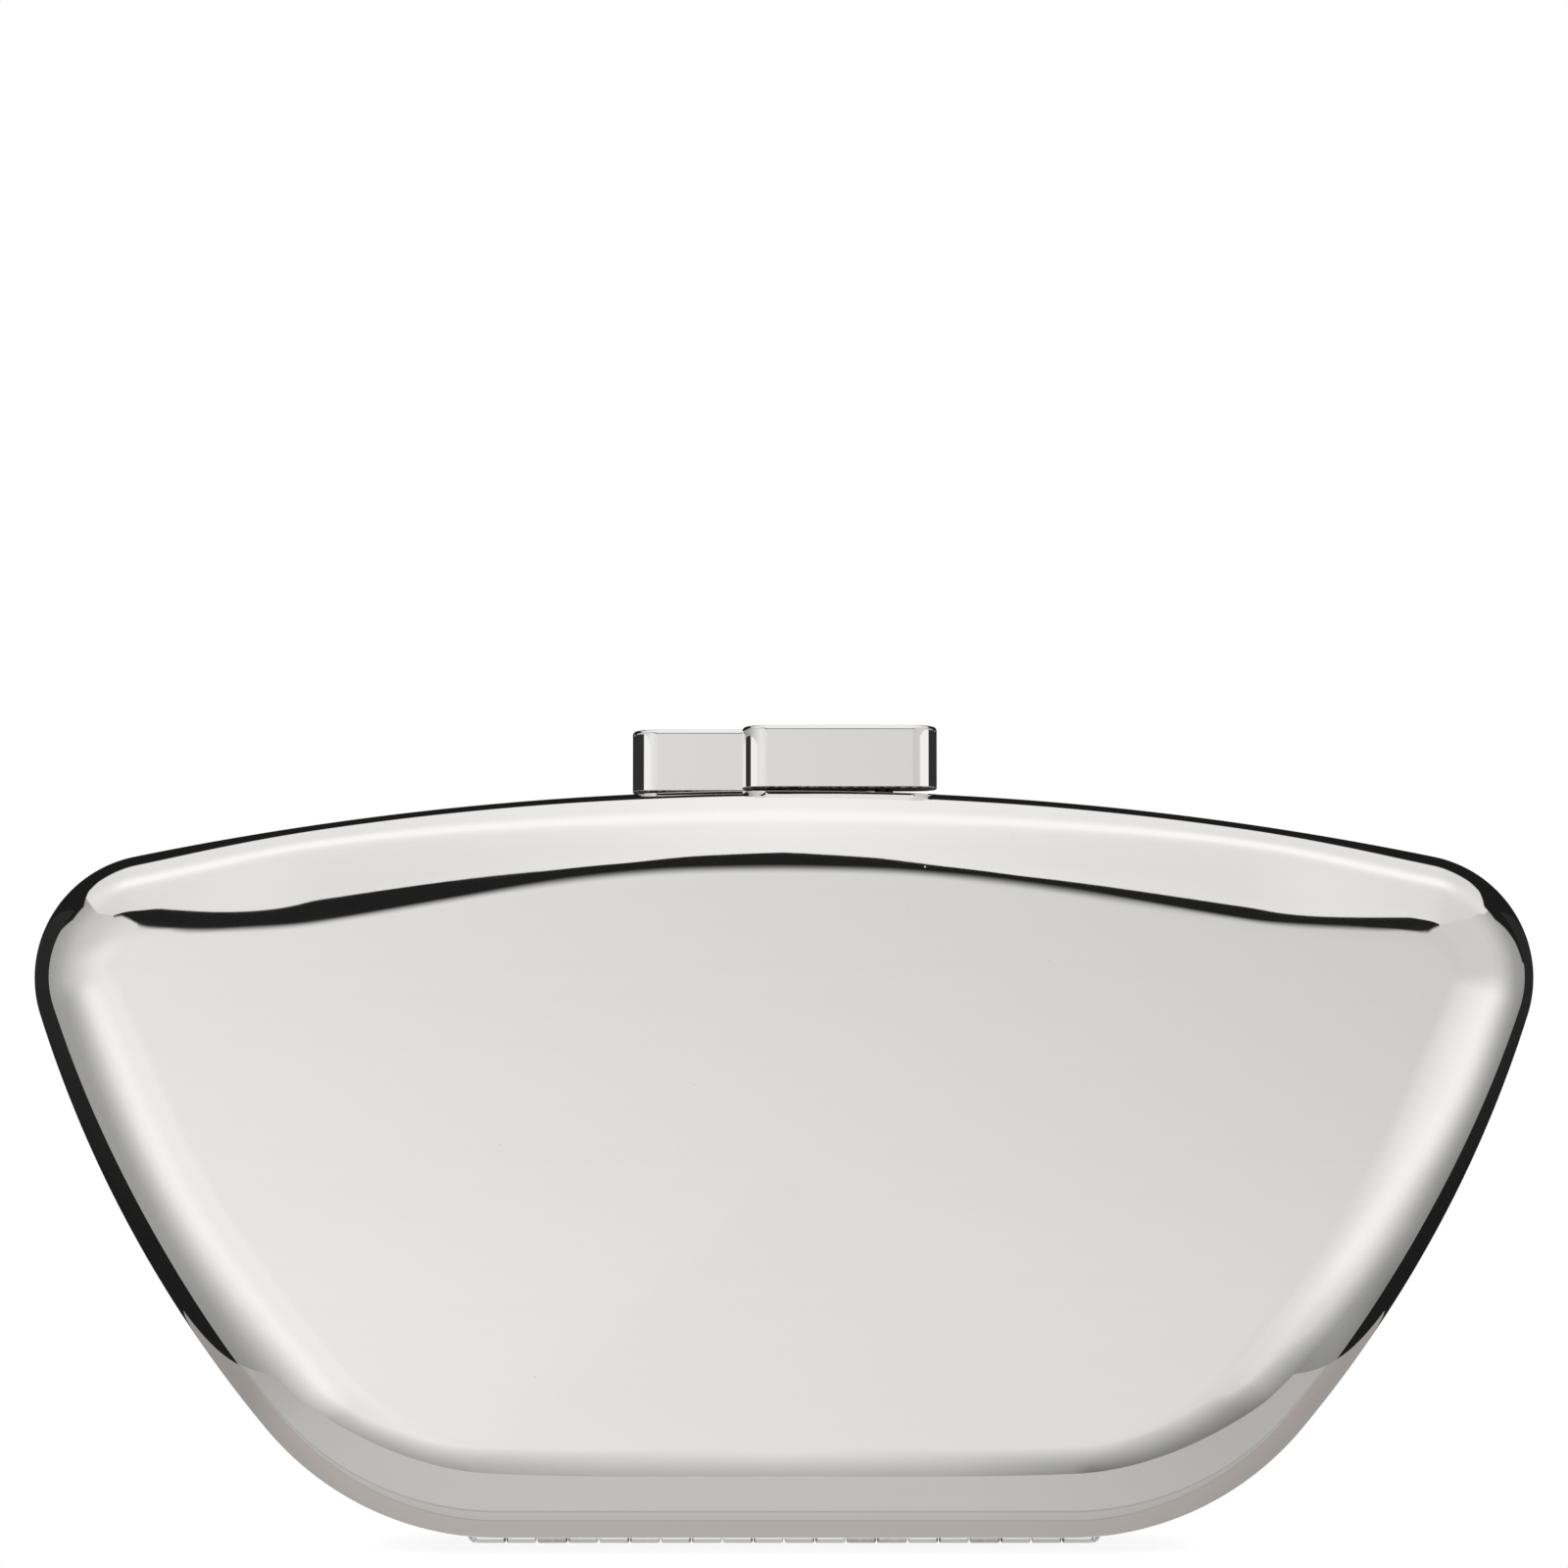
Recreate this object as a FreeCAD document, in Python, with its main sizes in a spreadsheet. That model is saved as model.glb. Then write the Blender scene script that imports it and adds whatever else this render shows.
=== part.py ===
import FreeCAD, Part
import math
import os
import re

import Sketcher

# A hard metal evening clutch: two drawn half shells on a long bottom hinge, shut by two clasp bars
# that slide past each other on top. X runs along the hinge, the front half lies at -Y, Z is up, and
# the origin is under the middle of the hinge, on its lowest line. Lengths are in millimetres.
# The back half is the front half turned half a turn about Z, so both come from the same functions.

SIZES = {
    # Rim line, seen from the front
    "body_width": 200,
    "body_height": 99.5,
    "shoulder_drop": 25,
    "upper_corner_radius": 16.5,
    "side_radius": 162,
    "lower_corner_radius": 40.5,
    # Drawn shell
    "half_depth": 22.4,
    "shell_wall": 1,
    "roll_radius": 12.5,
    "parting_gap": 0.2,
    # Band inside the mouth
    "frame_gap": 0.05,
    "frame_thickness": 1.5,
    "frame_depth": 7,
    # Covered tray behind the band
    "lining_gap": 0.15,
    "lining_thickness": 1,
    "lining_edge_gap": 0.3,
    # Hinge
    "barrel_diameter": 3.2,
    "barrel_clearance": 0.3,
    "knuckle_count": 20,
    "knuckle_pitch": 4.16,
    "knuckle_gap": 0.15,
    "leaf_thickness": 0.6,
    "leaf_gap": 0.02,
    "leaf_margin": 0.5,
    "pin_diameter": 1.5,
    "pin_clearance": 0.04,
    "pin_head_length": 1,
    "pin_head_tip_diameter": 1.6,
    "hinge_end_gap": 1.4,
    "hinge_overhang": 3.8,
    "rivet_count": 6,
    "rivet_margin": 9.1,
    "rivet_diameter": 1.2,
    "rivet_clearance": 0.03,
    "rivet_head_diameter": 2.2,
    "rivet_head_height": 0.5,
    "rivet_head_round": 0.35,
    # Clasp bar and its stems
    "bar_length": 26.3,
    "bar_depth": 7,
    "bar_height": 8.8,
    "bar_end_flat": 1,
    "bar_edge_radius": 0.6,
    "bar_offset": 7.5,
    "bar_gap": 0.4,
    "bar_lift": 0.3,
    "bar_travel": 3,
    "stem_diameter": 2.5,
    "stem_spacing": 12,
    "slot_clearance": 0.2,
    # Latch slide under the rim
    "slide_drop": 0.9,
    "slide_thickness": 1.2,
    "slide_width": 4.6,
    "slide_margin": 2.2,
    "finger_length": 1.5,
    "finger_width": 0.9,
    "tongue_width": 3,
    "tongue_reach": 5.6,
    "nose_reach": 1.6,
    "nose_overlap": 1.2,
    "nose_clearance": 0.2,
    # Keeper for the other half's nose
    "keeper_length": 3.4,
    "keeper_overhang": 0.2,
    "seat_gap": 0.03,
    # Screws
    "screw_diameter": 1.3,
    "screw_clearance": 0.03,
    "screw_depth": 2.6,
    "screw_head_diameter": 2.6,
    "screw_head_height": 0.8,
    "screw_head_round": 0.3,
    # Folded cover below the latch
    "cover_end_gap": 2,
    "cover_foot": 4.4,
    "cover_thickness": 0.5,
    "cover_clearance": 0.25,
    "cover_edge_gap": 0.3,
    "cover_bend": 0.4,
    "tab_width": 3.2,
    # Return spring
    "spring_length": 6.4,
    "finger_clearance": 0.075,
    "spring_wire": 0.35,
    "spring_turns": 6,
    "spring_end_gap": 0.05,
    # Cuts run past the solid by this much, and points closer than the tolerance are one place
    "overrun": 1,
    "tolerance": 0.001,
}

Vector = FreeCAD.Vector
doc = FreeCAD.newDocument("Minaudiere")
sheet = doc.addObject("Spreadsheet::Sheet", "Sizes")
for row, (alias, number) in enumerate(SIZES.items(), start=1):
    sheet.set(f"A{row}", alias)
    sheet.set(f"B{row}", str(number))
    sheet.setAlias(f"B{row}", alias)
doc.recompute()


def spelled(formula):
    """Put the sheet's name before each size in a formula."""
    return re.sub(r"[a-z_]+", lambda word: f"Sizes.{word[0]}" if word[0] in SIZES else word[0], formula)


def value(formula):
    """Work out a formula with the sheet's present numbers."""
    return float(sheet.evalExpression(spelled(formula)))


def bind(item, path, formula):
    """Tie one property of an object to a formula."""
    item.setExpression(path, spelled(formula))


# Heights and places that several pieces share. The leaf lies just above the shell's inside where the
# hinge ends, a little way up the lower corners, and that sets how far the shell hangs above the barrel.
HINGE_HALF = "(knuckle_count * knuckle_pitch / 2)"
FLAT_HALF = f"({HINGE_HALF} - hinge_overhang)"
CORNER_RISE = "(lower_corner_radius - sqrt(lower_corner_radius ^ 2 - hinge_overhang ^ 2))"
LEAF_UNDER = "(barrel_diameter - leaf_thickness)"
SHELL_UNDER = f"({LEAF_UNDER} - leaf_gap - {CORNER_RISE} - shell_wall)"
SHELL_TOP = f"({SHELL_UNDER} + body_height)"
WIDEST = f"({SHELL_TOP} - shoulder_drop)"
CORNER_X = "(body_width / 2 - upper_corner_radius)"
ARCH_RADIUS = (
    f"(({CORNER_X} ^ 2 + shoulder_drop ^ 2 - upper_corner_radius ^ 2)"
    " / (2 * (shoulder_drop - upper_corner_radius)))"
)
ROLL = "min(roll_radius; upper_corner_radius - 2 * shell_wall)"
MOUTH = "(parting_gap / 2)"
FRAME_OUTSIDE = "(shell_wall + frame_gap)"
FRAME_INSIDE = f"({FRAME_OUTSIDE} + frame_thickness)"
FRAME_UNDER = f"({SHELL_TOP} - {FRAME_INSIDE})"
BARREL_RADIUS = "(barrel_diameter / 2)"
LEAF_EDGE = f"({BARREL_RADIUS} + barrel_clearance)"
LEAF_END = f"({MOUTH} + frame_depth - leaf_margin)"
RIVET_Y = f"(0 - ({LEAF_EDGE} + {LEAF_END}) / 2)"
RIVET_PLACES = [
    f"({number} * 2 / (rivet_count - 1) - 1) * ({HINGE_HALF} - rivet_margin)"
    for number in range(SIZES["rivet_count"])
]
BAR_Y = "(0 - (bar_gap + bar_depth) / 2)"
BAR_UNDER = f"({SHELL_TOP} + bar_lift)"
STEM_PLACES = ["(bar_offset - stem_spacing / 2)", "(bar_offset + stem_spacing / 2)"]
SLIDE_TOP = f"({FRAME_UNDER} - slide_drop)"
SLIDE_UNDER = f"({SLIDE_TOP} - slide_thickness)"
SLIDE_LEFT = f"({STEM_PLACES[0]} - slide_margin)"
SLIDE_RIGHT = f"({STEM_PLACES[1]} + slide_margin)"
KEEPER_X = f"({SLIDE_RIGHT} + nose_reach - nose_overlap)"
KEEPER_Y = "(tongue_reach - nose_reach - nose_overlap - nose_clearance * sqrt(2))"
COVER_FLOOR = f"({SLIDE_UNDER} - screw_head_height - cover_clearance)"
COVER_LEG = f"({KEEPER_X} + keeper_length + cover_end_gap)"
COVER_END = f"({COVER_LEG} + cover_thickness + cover_foot)"
COVER_SCREW_X = f"({COVER_LEG} + cover_thickness + cover_foot / 2)"
SPRING_DIAMETER = "(sqrt(finger_width ^ 2 + slide_thickness ^ 2) + spring_wire + 2 * finger_clearance)"


def below_arch(across):
    """Formula for the underside of the rim band at a distance from the middle."""
    inner = f"({ARCH_RADIUS} - {FRAME_INSIDE})"
    return f"({FRAME_UNDER} - {inner} + sqrt({inner} ^ 2 - ({across}) ^ 2))"


COVER_SEAT = f"({below_arch(COVER_END)} - seat_gap)"
KEEPER_SEAT = f"({below_arch(f'{KEEPER_X} + keeper_length')} - seat_gap)"


class Drawing:
    """A sketch on one of a body's own planes, with every point held by a formula."""

    def __init__(self, body, name, plane, lift="0", shift="0"):
        self.sketch = body.newObject("Sketcher::SketchObject", f"{body.Name}_{name}")
        support = next(item for item in body.Origin.OriginFeatures if item.Role == plane)
        self.sketch.AttachmentSupport = [(support, "")]
        self.sketch.MapMode = "FlatFace"
        bind(self.sketch, "AttachmentOffset.Base.z", lift)
        bind(self.sketch, "AttachmentOffset.Base.y", shift)

    def hold(self, kind, formula, *where):
        number = self.sketch.addConstraint(Sketcher.Constraint(kind, *where, value(formula)))
        bind(self.sketch, f"Constraints[{number}]", formula)

    def place(self, line, point, x, y):
        """Hold one point of a line or arc at two formulas from the sketch's origin."""
        self.hold("DistanceX", x, -1, 1, line, point)
        self.hold("DistanceY", y, -1, 1, line, point)

    def polygon(self, corners):
        spots = [Vector(value(x), value(y), 0) for x, y in corners]
        first = self.sketch.GeometryCount
        for start, end in zip(spots, spots[1:] + spots[:1]):
            self.sketch.addGeometry(Part.LineSegment(start, end), False)
        for number, (x, y) in enumerate(corners):
            follower = first + (number + 1) % len(corners)
            self.sketch.addConstraint(Sketcher.Constraint("Coincident", first + number, 2, follower, 1))
            self.place(first + number, 1, x, y)

    def rectangle(self, low_x, high_x, low_y, high_y):
        self.polygon([(low_x, low_y), (high_x, low_y), (high_x, high_y), (low_x, high_y)])

    def circle(self, x, y, radius):
        centre = Vector(value(x), value(y), 0)
        line = self.sketch.addGeometry(Part.Circle(centre, Vector(0, 0, 1), value(radius)), False)
        self.place(line, 3, x, y)
        self.hold("Radius", radius, line)

    def arc(self, centre, radius, start, end):
        circle = Part.Circle(centre, Vector(0, 0, 1), radius)
        return self.sketch.addGeometry(Part.ArcOfCircle(circle, start, end), False)

    def join(self, lines):
        """Close a chain of lines and arcs, each running smoothly into the next."""
        for line, follower in zip(lines, lines[1:] + lines[:1]):
            self.sketch.addConstraint(Sketcher.Constraint("Tangent", line, 2, follower, 1))

    def slot(self, low_x, high_x, y, radius):
        """A lengthwise slot between two round ends."""
        low, high = Vector(value(low_x), value(y), 0), Vector(value(high_x), value(y), 0)
        half = Vector(0, value(radius), 0)
        near = self.sketch.addGeometry(Part.LineSegment(low - half, high - half), False)
        right = self.arc(high, value(radius), -math.pi / 2, math.pi / 2)
        far = self.sketch.addGeometry(Part.LineSegment(high + half, low + half), False)
        left = self.arc(low, value(radius), math.pi / 2, 3 * math.pi / 2)
        self.join([near, right, far, left])
        self.place(right, 3, high_x, y)
        self.place(left, 3, low_x, y)
        self.hold("Radius", radius, right)
        self.hold("Radius", radius, left)

    def rim(self, inset):
        """The closed rim line drawn in by inset: a flat bottom, two lower corners, two long sides,
        two tight upper corners and one shallow arch over the top, each tangent to the next."""
        bottom = f"{SHELL_UNDER} + {inset}"
        lower, side = f"lower_corner_radius - {inset}", f"side_radius - {inset}"
        upper, arch = f"upper_corner_radius - {inset}", f"{ARCH_RADIUS} - {inset}"
        flat = value(FLAT_HALF)
        low_centre = Vector(flat, value(bottom) + value(lower), 0)
        high_centre = Vector(value(CORNER_X), value(WIDEST), 0)
        top_centre = Vector(0, value(f"{SHELL_TOP} - {ARCH_RADIUS}"), 0)

        # The side's centre lies as far from each corner's centre as their radii differ
        span = high_centre - low_centre
        from_low, from_high = value(side) - value(lower), value(side) - value(upper)
        along = (from_low**2 - from_high**2 + span.Length**2) / (2 * span.Length)
        inward = Vector(-span.y, span.x, 0).normalize()
        side_centre = low_centre + span * (along / span.Length)
        side_centre += inward * math.sqrt(from_low**2 - along**2)

        def direction(start, end):
            return math.atan2(end.y - start.y, end.x - start.x)

        turns = [
            direction(side_centre, low_centre),
            direction(side_centre, high_centre),
            direction(top_centre, high_centre),
        ]
        mirrored = [math.pi - turn for turn in turns]

        def across(point):
            return Vector(-point.x, point.y, 0)

        line = Part.LineSegment(Vector(-flat, value(bottom), 0), Vector(flat, value(bottom), 0))
        floor = self.sketch.addGeometry(line, False)
        low_right = self.arc(low_centre, value(lower), -math.pi / 2, turns[0])
        side_right = self.arc(side_centre, value(side), turns[0], turns[1])
        high_right = self.arc(high_centre, value(upper), turns[1], turns[2])
        top = self.arc(top_centre, value(arch), turns[2], mirrored[2])
        high_left = self.arc(across(high_centre), value(upper), mirrored[2], mirrored[1])
        side_left = self.arc(across(side_centre), value(side), mirrored[1], mirrored[0])
        low_left = self.arc(across(low_centre), value(lower), mirrored[0], 3 * math.pi / 2)
        self.join([floor, low_right, side_right, high_right, top, high_left, side_left, low_left])

        self.sketch.addConstraint(Sketcher.Constraint("Horizontal", floor))
        self.hold("DistanceY", bottom, -1, 1, floor, 1)
        self.hold("DistanceX", FLAT_HALF, -1, 1, low_right, 3)
        self.hold("DistanceX", f"0 - {FLAT_HALF}", -1, 1, low_left, 3)
        self.place(high_right, 3, CORNER_X, WIDEST)
        self.place(high_left, 3, f"0 - {CORNER_X}", WIDEST)
        for line, radius in (
            (low_right, lower),
            (low_left, lower),
            (side_right, side),
            (side_left, side),
            (high_right, upper),
            (high_left, upper),
            (top, arch),
        ):
            self.hold("Radius", radius, line)


nodes = []


def new_body(label, placement):
    body = doc.addObject("PartDesign::Body", f"Body_{label}")
    body.Label = label
    body.AllowCompound = True
    body.Placement = placement
    nodes.append(body)
    return body


def add_feature(body, kind, name):
    feature = body.newObject(f"PartDesign::{kind}", f"{body.Name}_{name}")
    body.Tip = feature
    return feature


def pad(body, drawing, name, length, backwards=False):
    feature = add_feature(body, "Pad", name)
    feature.Profile = drawing.sketch
    bind(feature, "Length", length)
    feature.Reversed = backwards
    doc.recompute()
    return feature


def pocket(body, drawing, name, length, forwards=False):
    """Cut away from the plane, against its direction unless forwards, and make sure that it cuts."""
    before = body.Shape.Volume
    feature = add_feature(body, "Pocket", name)
    feature.Profile = drawing.sketch
    bind(feature, "Length", length)
    feature.Reversed = forwards
    doc.recompute()
    if feature.Shape.Volume >= before:
        raise RuntimeError(f"{feature.Name} cuts nothing")
    return feature


def fillet(body, base, name, radius, chosen):
    """Round the edges of a feature that pass a test."""
    edges = [f"Edge{number}" for number, edge in enumerate(base.Shape.Edges, start=1) if chosen(edge)]
    feature = add_feature(body, "Fillet", name)
    feature.Base = (base, edges)
    bind(feature, "Radius", radius)
    doc.recompute()
    return feature


def deeper_than(depth):
    """Test for edges that lie wholly at a depth behind the mouth, towards the face."""
    limit = -value(depth) + value("tolerance")
    return lambda edge: edge.BoundBox.YMax < limit


def within_heights(low, high):
    """Test for edges that lie wholly between two heights."""
    low_limit, high_limit = value(low) - value("tolerance"), value(high) + value("tolerance")
    return lambda edge: low_limit < edge.BoundBox.ZMin and edge.BoundBox.ZMax < high_limit


def stem_slots(drawing):
    """The two slots that the clasp bar's stems slide in."""
    for place in STEM_PLACES:
        drawing.slot(f"{place} - bar_travel", place, BAR_Y, "stem_diameter / 2 + slot_clearance")


def tray(body, inset, start, floor, wall):
    """A drawn tray: the rim line drawn in by inset, padded to its floor, its edge rolled over, and
    shelled out from the mouth to leave the wall."""
    outside = Drawing(body, "outside", "XZ_Plane", start)
    outside.rim(inset)
    block = pad(body, outside, "block", f"{floor} - ({start})")
    rolled = fillet(body, block, "roll", f"{ROLL} - ({inset})", deeper_than(floor))
    mouth = max(rolled.Shape.Faces, key=lambda face: face.BoundBox.YMin)
    number = next(n for n, face in enumerate(rolled.Shape.Faces, start=1) if face.isSame(mouth))
    hollow = add_feature(body, "Thickness", "hollow")
    hollow.Base = (rolled, [f"Face{number}"])
    hollow.Reversed = True
    bind(hollow, "Value", wall)
    doc.recompute()
    if hollow.Shape.Volume >= rolled.Shape.Volume:
        raise RuntimeError(f"{hollow.Name} isn't hollow")


def make_shell(label, placement):
    """Drawn shell with a notch round the hinge barrel, rivet holes and the slots of the stems."""
    body = new_body(label, placement)
    tray(body, "0", MOUTH, f"({MOUTH} + half_depth)", "shell_wall")
    below = Drawing(body, "below", "XY_Plane")
    half = f"({HINGE_HALF} + hinge_end_gap)"
    below.rectangle(f"0 - {half}", half, f"0 - {LEAF_EDGE}", "overrun")
    for place in RIVET_PLACES:
        below.circle(place, RIVET_Y, "rivet_diameter / 2 + rivet_clearance")
    pocket(body, below, "hinge_notch", f"{LEAF_UNDER} + leaf_thickness", forwards=True)
    above = Drawing(body, "above", "XY_Plane", f"{SHELL_TOP} + overrun")
    stem_slots(above)
    pocket(body, above, "stem_slots", "overrun + shoulder_drop")


def make_rim_frame(label, placement):
    """Band soldered inside the mouth, open along the hinge and slotted for the stems."""
    body = new_body(label, placement)
    ring = Drawing(body, "ring", "XZ_Plane", MOUTH)
    ring.rim(FRAME_OUTSIDE)
    ring.rim(FRAME_INSIDE)
    pad(body, ring, "band", "frame_depth")
    below = Drawing(body, "below", "XY_Plane")
    half = f"({HINGE_HALF} + hinge_end_gap)"
    below.rectangle(f"0 - {half}", half, f"0 - {MOUTH} - frame_depth - overrun", "overrun")
    pocket(body, below, "hinge_gap", f"{SHELL_UNDER} + {FRAME_INSIDE} + overrun", forwards=True)
    above = Drawing(body, "above", "XY_Plane", f"{SHELL_TOP} + overrun")
    stem_slots(above)
    for side in ("", "0 - "):
        above.circle(f"{side}{COVER_SCREW_X}", BAR_Y, "screw_diameter / 2 + screw_clearance")
    pocket(body, above, "top_holes", "overrun + shoulder_drop")


def make_lining(label, placement):
    """Thin covered tray that lies against the shell, trimmed off behind the band."""
    body = new_body(label, placement)
    floor = f"({MOUTH} + half_depth - shell_wall - lining_gap)"
    tray(body, "(shell_wall + lining_gap)", MOUTH, floor, "lining_thickness")
    edge = Drawing(body, "edge", "XZ_Plane", f"{MOUTH} + frame_depth + lining_edge_gap")
    edge.rectangle("0 - body_width / 2", "body_width / 2", SHELL_UNDER, SHELL_TOP)
    pocket(body, edge, "trim", "frame_depth + lining_edge_gap + overrun")


def make_hinge_leaf(label, placement):
    """Leaf with every other knuckle, rolled over from the leaf's upper side."""
    body = new_body(label, placement)
    plate = Drawing(body, "plate", "XY_Plane", LEAF_UNDER)
    plate.rectangle(f"0 - {HINGE_HALF}", HINGE_HALF, f"0 - {LEAF_END}", f"0 - {LEAF_EDGE}")
    pad(body, plate, "leaf", "leaf_thickness")

    profile = Drawing(body, "profile", "YZ_Plane", f"knuckle_gap / 2 - {HINGE_HALF}")
    root = f"0 - {LEAF_EDGE} - leaf_thickness"
    meeting = "0 - sqrt(barrel_diameter * leaf_thickness - leaf_thickness ^ 2)"
    centre = Vector(0, value(BARREL_RADIUS), 0)
    crown = Vector(0, value("barrel_diameter"), 0)
    root_top = Vector(value(root), value("barrel_diameter"), 0)
    root_under = Vector(value(root), value(LEAF_UNDER), 0)
    foot = Vector(value(meeting), value(LEAF_UNDER), 0)
    sketch = profile.sketch
    upper = sketch.addGeometry(Part.LineSegment(crown, root_top), False)
    end = sketch.addGeometry(Part.LineSegment(root_top, root_under), False)
    under = sketch.addGeometry(Part.LineSegment(root_under, foot), False)
    start_turn = math.atan2(foot.y - centre.y, foot.x)
    barrel = profile.arc(centre, value(BARREL_RADIUS), start_turn, math.pi / 2 + 2 * math.pi)
    chain = [upper, end, under, barrel]
    for line, follower in zip(chain, chain[1:] + chain[:1]):
        sketch.addConstraint(Sketcher.Constraint("Coincident", line, 2, follower, 1))
    profile.place(barrel, 3, "0", BARREL_RADIUS)
    profile.hold("DistanceX", "0", -1, 1, upper, 1)
    profile.hold("DistanceY", "barrel_diameter", -1, 1, upper, 1)
    profile.place(upper, 2, root, "barrel_diameter")
    profile.place(end, 2, root, LEAF_UNDER)
    profile.hold("DistanceY", LEAF_UNDER, -1, 1, under, 2)
    knuckle = pad(body, profile, "knuckle", "knuckle_pitch - knuckle_gap")

    row = add_feature(body, "LinearPattern", "knuckles")
    row.Originals = [knuckle]
    row.Direction = (next(item for item in body.Origin.OriginFeatures if item.Role == "X_Axis"), [""])
    bind(row, "Occurrences", "knuckle_count / 2")
    bind(row, "Length", "knuckle_pitch * (knuckle_count - 2)")
    body.Tip = row
    doc.recompute()

    bore = Drawing(body, "bore", "YZ_Plane", f"0 - {HINGE_HALF} - overrun")
    bore.circle("0", BARREL_RADIUS, "pin_diameter / 2 + pin_clearance")
    pocket(body, bore, "pin_bore", f"2 * ({HINGE_HALF} + overrun)", forwards=True)
    holes = Drawing(body, "holes", "XY_Plane", "barrel_diameter + overrun")
    for place in RIVET_PLACES:
        holes.circle(place, RIVET_Y, "rivet_diameter / 2 + rivet_clearance")
    pocket(body, holes, "rivet_holes", "leaf_thickness + 2 * overrun")


def make_hinge_rivets(label, placement):
    """Rivets with low heads on the leaf and shanks that end flush with the shell's outside."""
    body = new_body(label, placement)
    heads = Drawing(body, "heads", "XY_Plane", "barrel_diameter")
    shanks = Drawing(body, "shanks", "XY_Plane", "barrel_diameter")
    for place in RIVET_PLACES:
        heads.circle(place, RIVET_Y, "rivet_head_diameter / 2")
        shanks.circle(place, RIVET_Y, "rivet_diameter / 2")
    head = pad(body, heads, "head", "rivet_head_height")
    crown = "barrel_diameter + rivet_head_height"
    fillet(body, head, "crown", "rivet_head_round", within_heights(crown, crown))
    pad(body, shanks, "shank", f"barrel_diameter - {SHELL_UNDER}", backwards=True)


def make_hinge_pin(label, placement):
    """Pin through all the knuckles, with a tapered head at each end of the barrel."""
    body = new_body(label, placement)
    profile = Drawing(body, "profile", "XZ_Plane", "0", BARREL_RADIUS)
    end = f"({HINGE_HALF} + pin_head_length)"
    profile.polygon(
        [
            (f"0 - {end}", "0"),
            (end, "0"),
            (end, "pin_head_tip_diameter / 2"),
            (HINGE_HALF, BARREL_RADIUS),
            (HINGE_HALF, "pin_diameter / 2"),
            (f"0 - {HINGE_HALF}", "pin_diameter / 2"),
            (f"0 - {HINGE_HALF}", BARREL_RADIUS),
            (f"0 - {end}", "pin_head_tip_diameter / 2"),
        ]
    )
    turned = add_feature(body, "Revolution", "turned")
    turned.Profile = profile.sketch
    turned.ReferenceAxis = (profile.sketch, ["H_Axis"])
    turned.Angle = 360
    doc.recompute()


def make_clasp_bar(label, placement):
    """Rounded bar whose two stems pass through the shell and the band to the slide."""
    body = new_body(label, placement)
    plan = Drawing(body, "plan", "XY_Plane", BAR_UNDER)
    plan.rectangle(
        "bar_offset - bar_length / 2",
        "bar_offset + bar_length / 2",
        "0 - bar_gap / 2 - bar_depth",
        "0 - bar_gap / 2",
    )
    block = pad(body, plan, "block", "bar_height")
    bar_top = f"{BAR_UNDER} + bar_height"
    upright = value("bar_height") - value("tolerance")
    corner = "(bar_depth - bar_end_flat) / 2"
    ends = fillet(body, block, "ends", corner, lambda edge: edge.BoundBox.ZLength > upright)
    at_top, at_under = within_heights(bar_top, bar_top), within_heights(BAR_UNDER, BAR_UNDER)
    fillet(body, ends, "edges", "bar_edge_radius", lambda edge: at_top(edge) or at_under(edge))
    stems = Drawing(body, "stems", "XY_Plane", BAR_UNDER)
    for place in STEM_PLACES:
        stems.circle(place, BAR_Y, "stem_diameter / 2")
    pad(body, stems, "stem", f"{BAR_UNDER} - {SLIDE_TOP}", backwards=True)
    threads = Drawing(body, "threads", "XY_Plane", SLIDE_TOP)
    for place in STEM_PLACES:
        threads.circle(place, BAR_Y, "screw_diameter / 2 + screw_clearance")
    pocket(body, threads, "screw_hole", "screw_depth + screw_clearance", forwards=True)


def make_latch_slide(label, placement):
    """Plate that joins the stems: a finger for the spring at one end, and at the other a tongue
    that reaches into the other half and ends in a nose sloped on both sides."""
    body = new_body(label, placement)
    plan = Drawing(body, "plan", "XY_Plane", SLIDE_UNDER)
    near, far = f"({BAR_Y} - slide_width / 2)", f"({BAR_Y} + slide_width / 2)"
    finger_near, finger_far = f"({BAR_Y} - finger_width / 2)", f"({BAR_Y} + finger_width / 2)"
    finger_end = f"({SLIDE_LEFT} - finger_length)"
    plan.polygon(
        [
            (SLIDE_LEFT, near),
            (SLIDE_RIGHT, near),
            (SLIDE_RIGHT, "tongue_reach - 2 * nose_reach"),
            (f"{SLIDE_RIGHT} + nose_reach", "tongue_reach - nose_reach"),
            (SLIDE_RIGHT, "tongue_reach"),
            (f"{SLIDE_RIGHT} - tongue_width", "tongue_reach"),
            (f"{SLIDE_RIGHT} - tongue_width", far),
            (SLIDE_LEFT, far),
            (SLIDE_LEFT, finger_far),
            (finger_end, finger_far),
            (finger_end, finger_near),
            (SLIDE_LEFT, finger_near),
        ]
    )
    for place in STEM_PLACES:
        plan.circle(place, BAR_Y, "screw_diameter / 2 + screw_clearance")
    pad(body, plan, "plate", "slide_thickness")


def make_screws(label, placement, places, seat, length):
    """Screws whose heads bear on a seat from below."""
    body = new_body(label, placement)
    heads = Drawing(body, "heads", "XY_Plane", seat)
    shanks = Drawing(body, "shanks", "XY_Plane", seat)
    for place in places:
        heads.circle(place, BAR_Y, "screw_head_diameter / 2")
        shanks.circle(place, BAR_Y, "screw_diameter / 2")
    head = pad(body, heads, "head", "screw_head_height", backwards=True)
    low = f"{seat} - screw_head_height"
    fillet(body, head, "head_edge", "screw_head_round", within_heights(low, low))
    pad(body, shanks, "shank", length)


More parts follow.
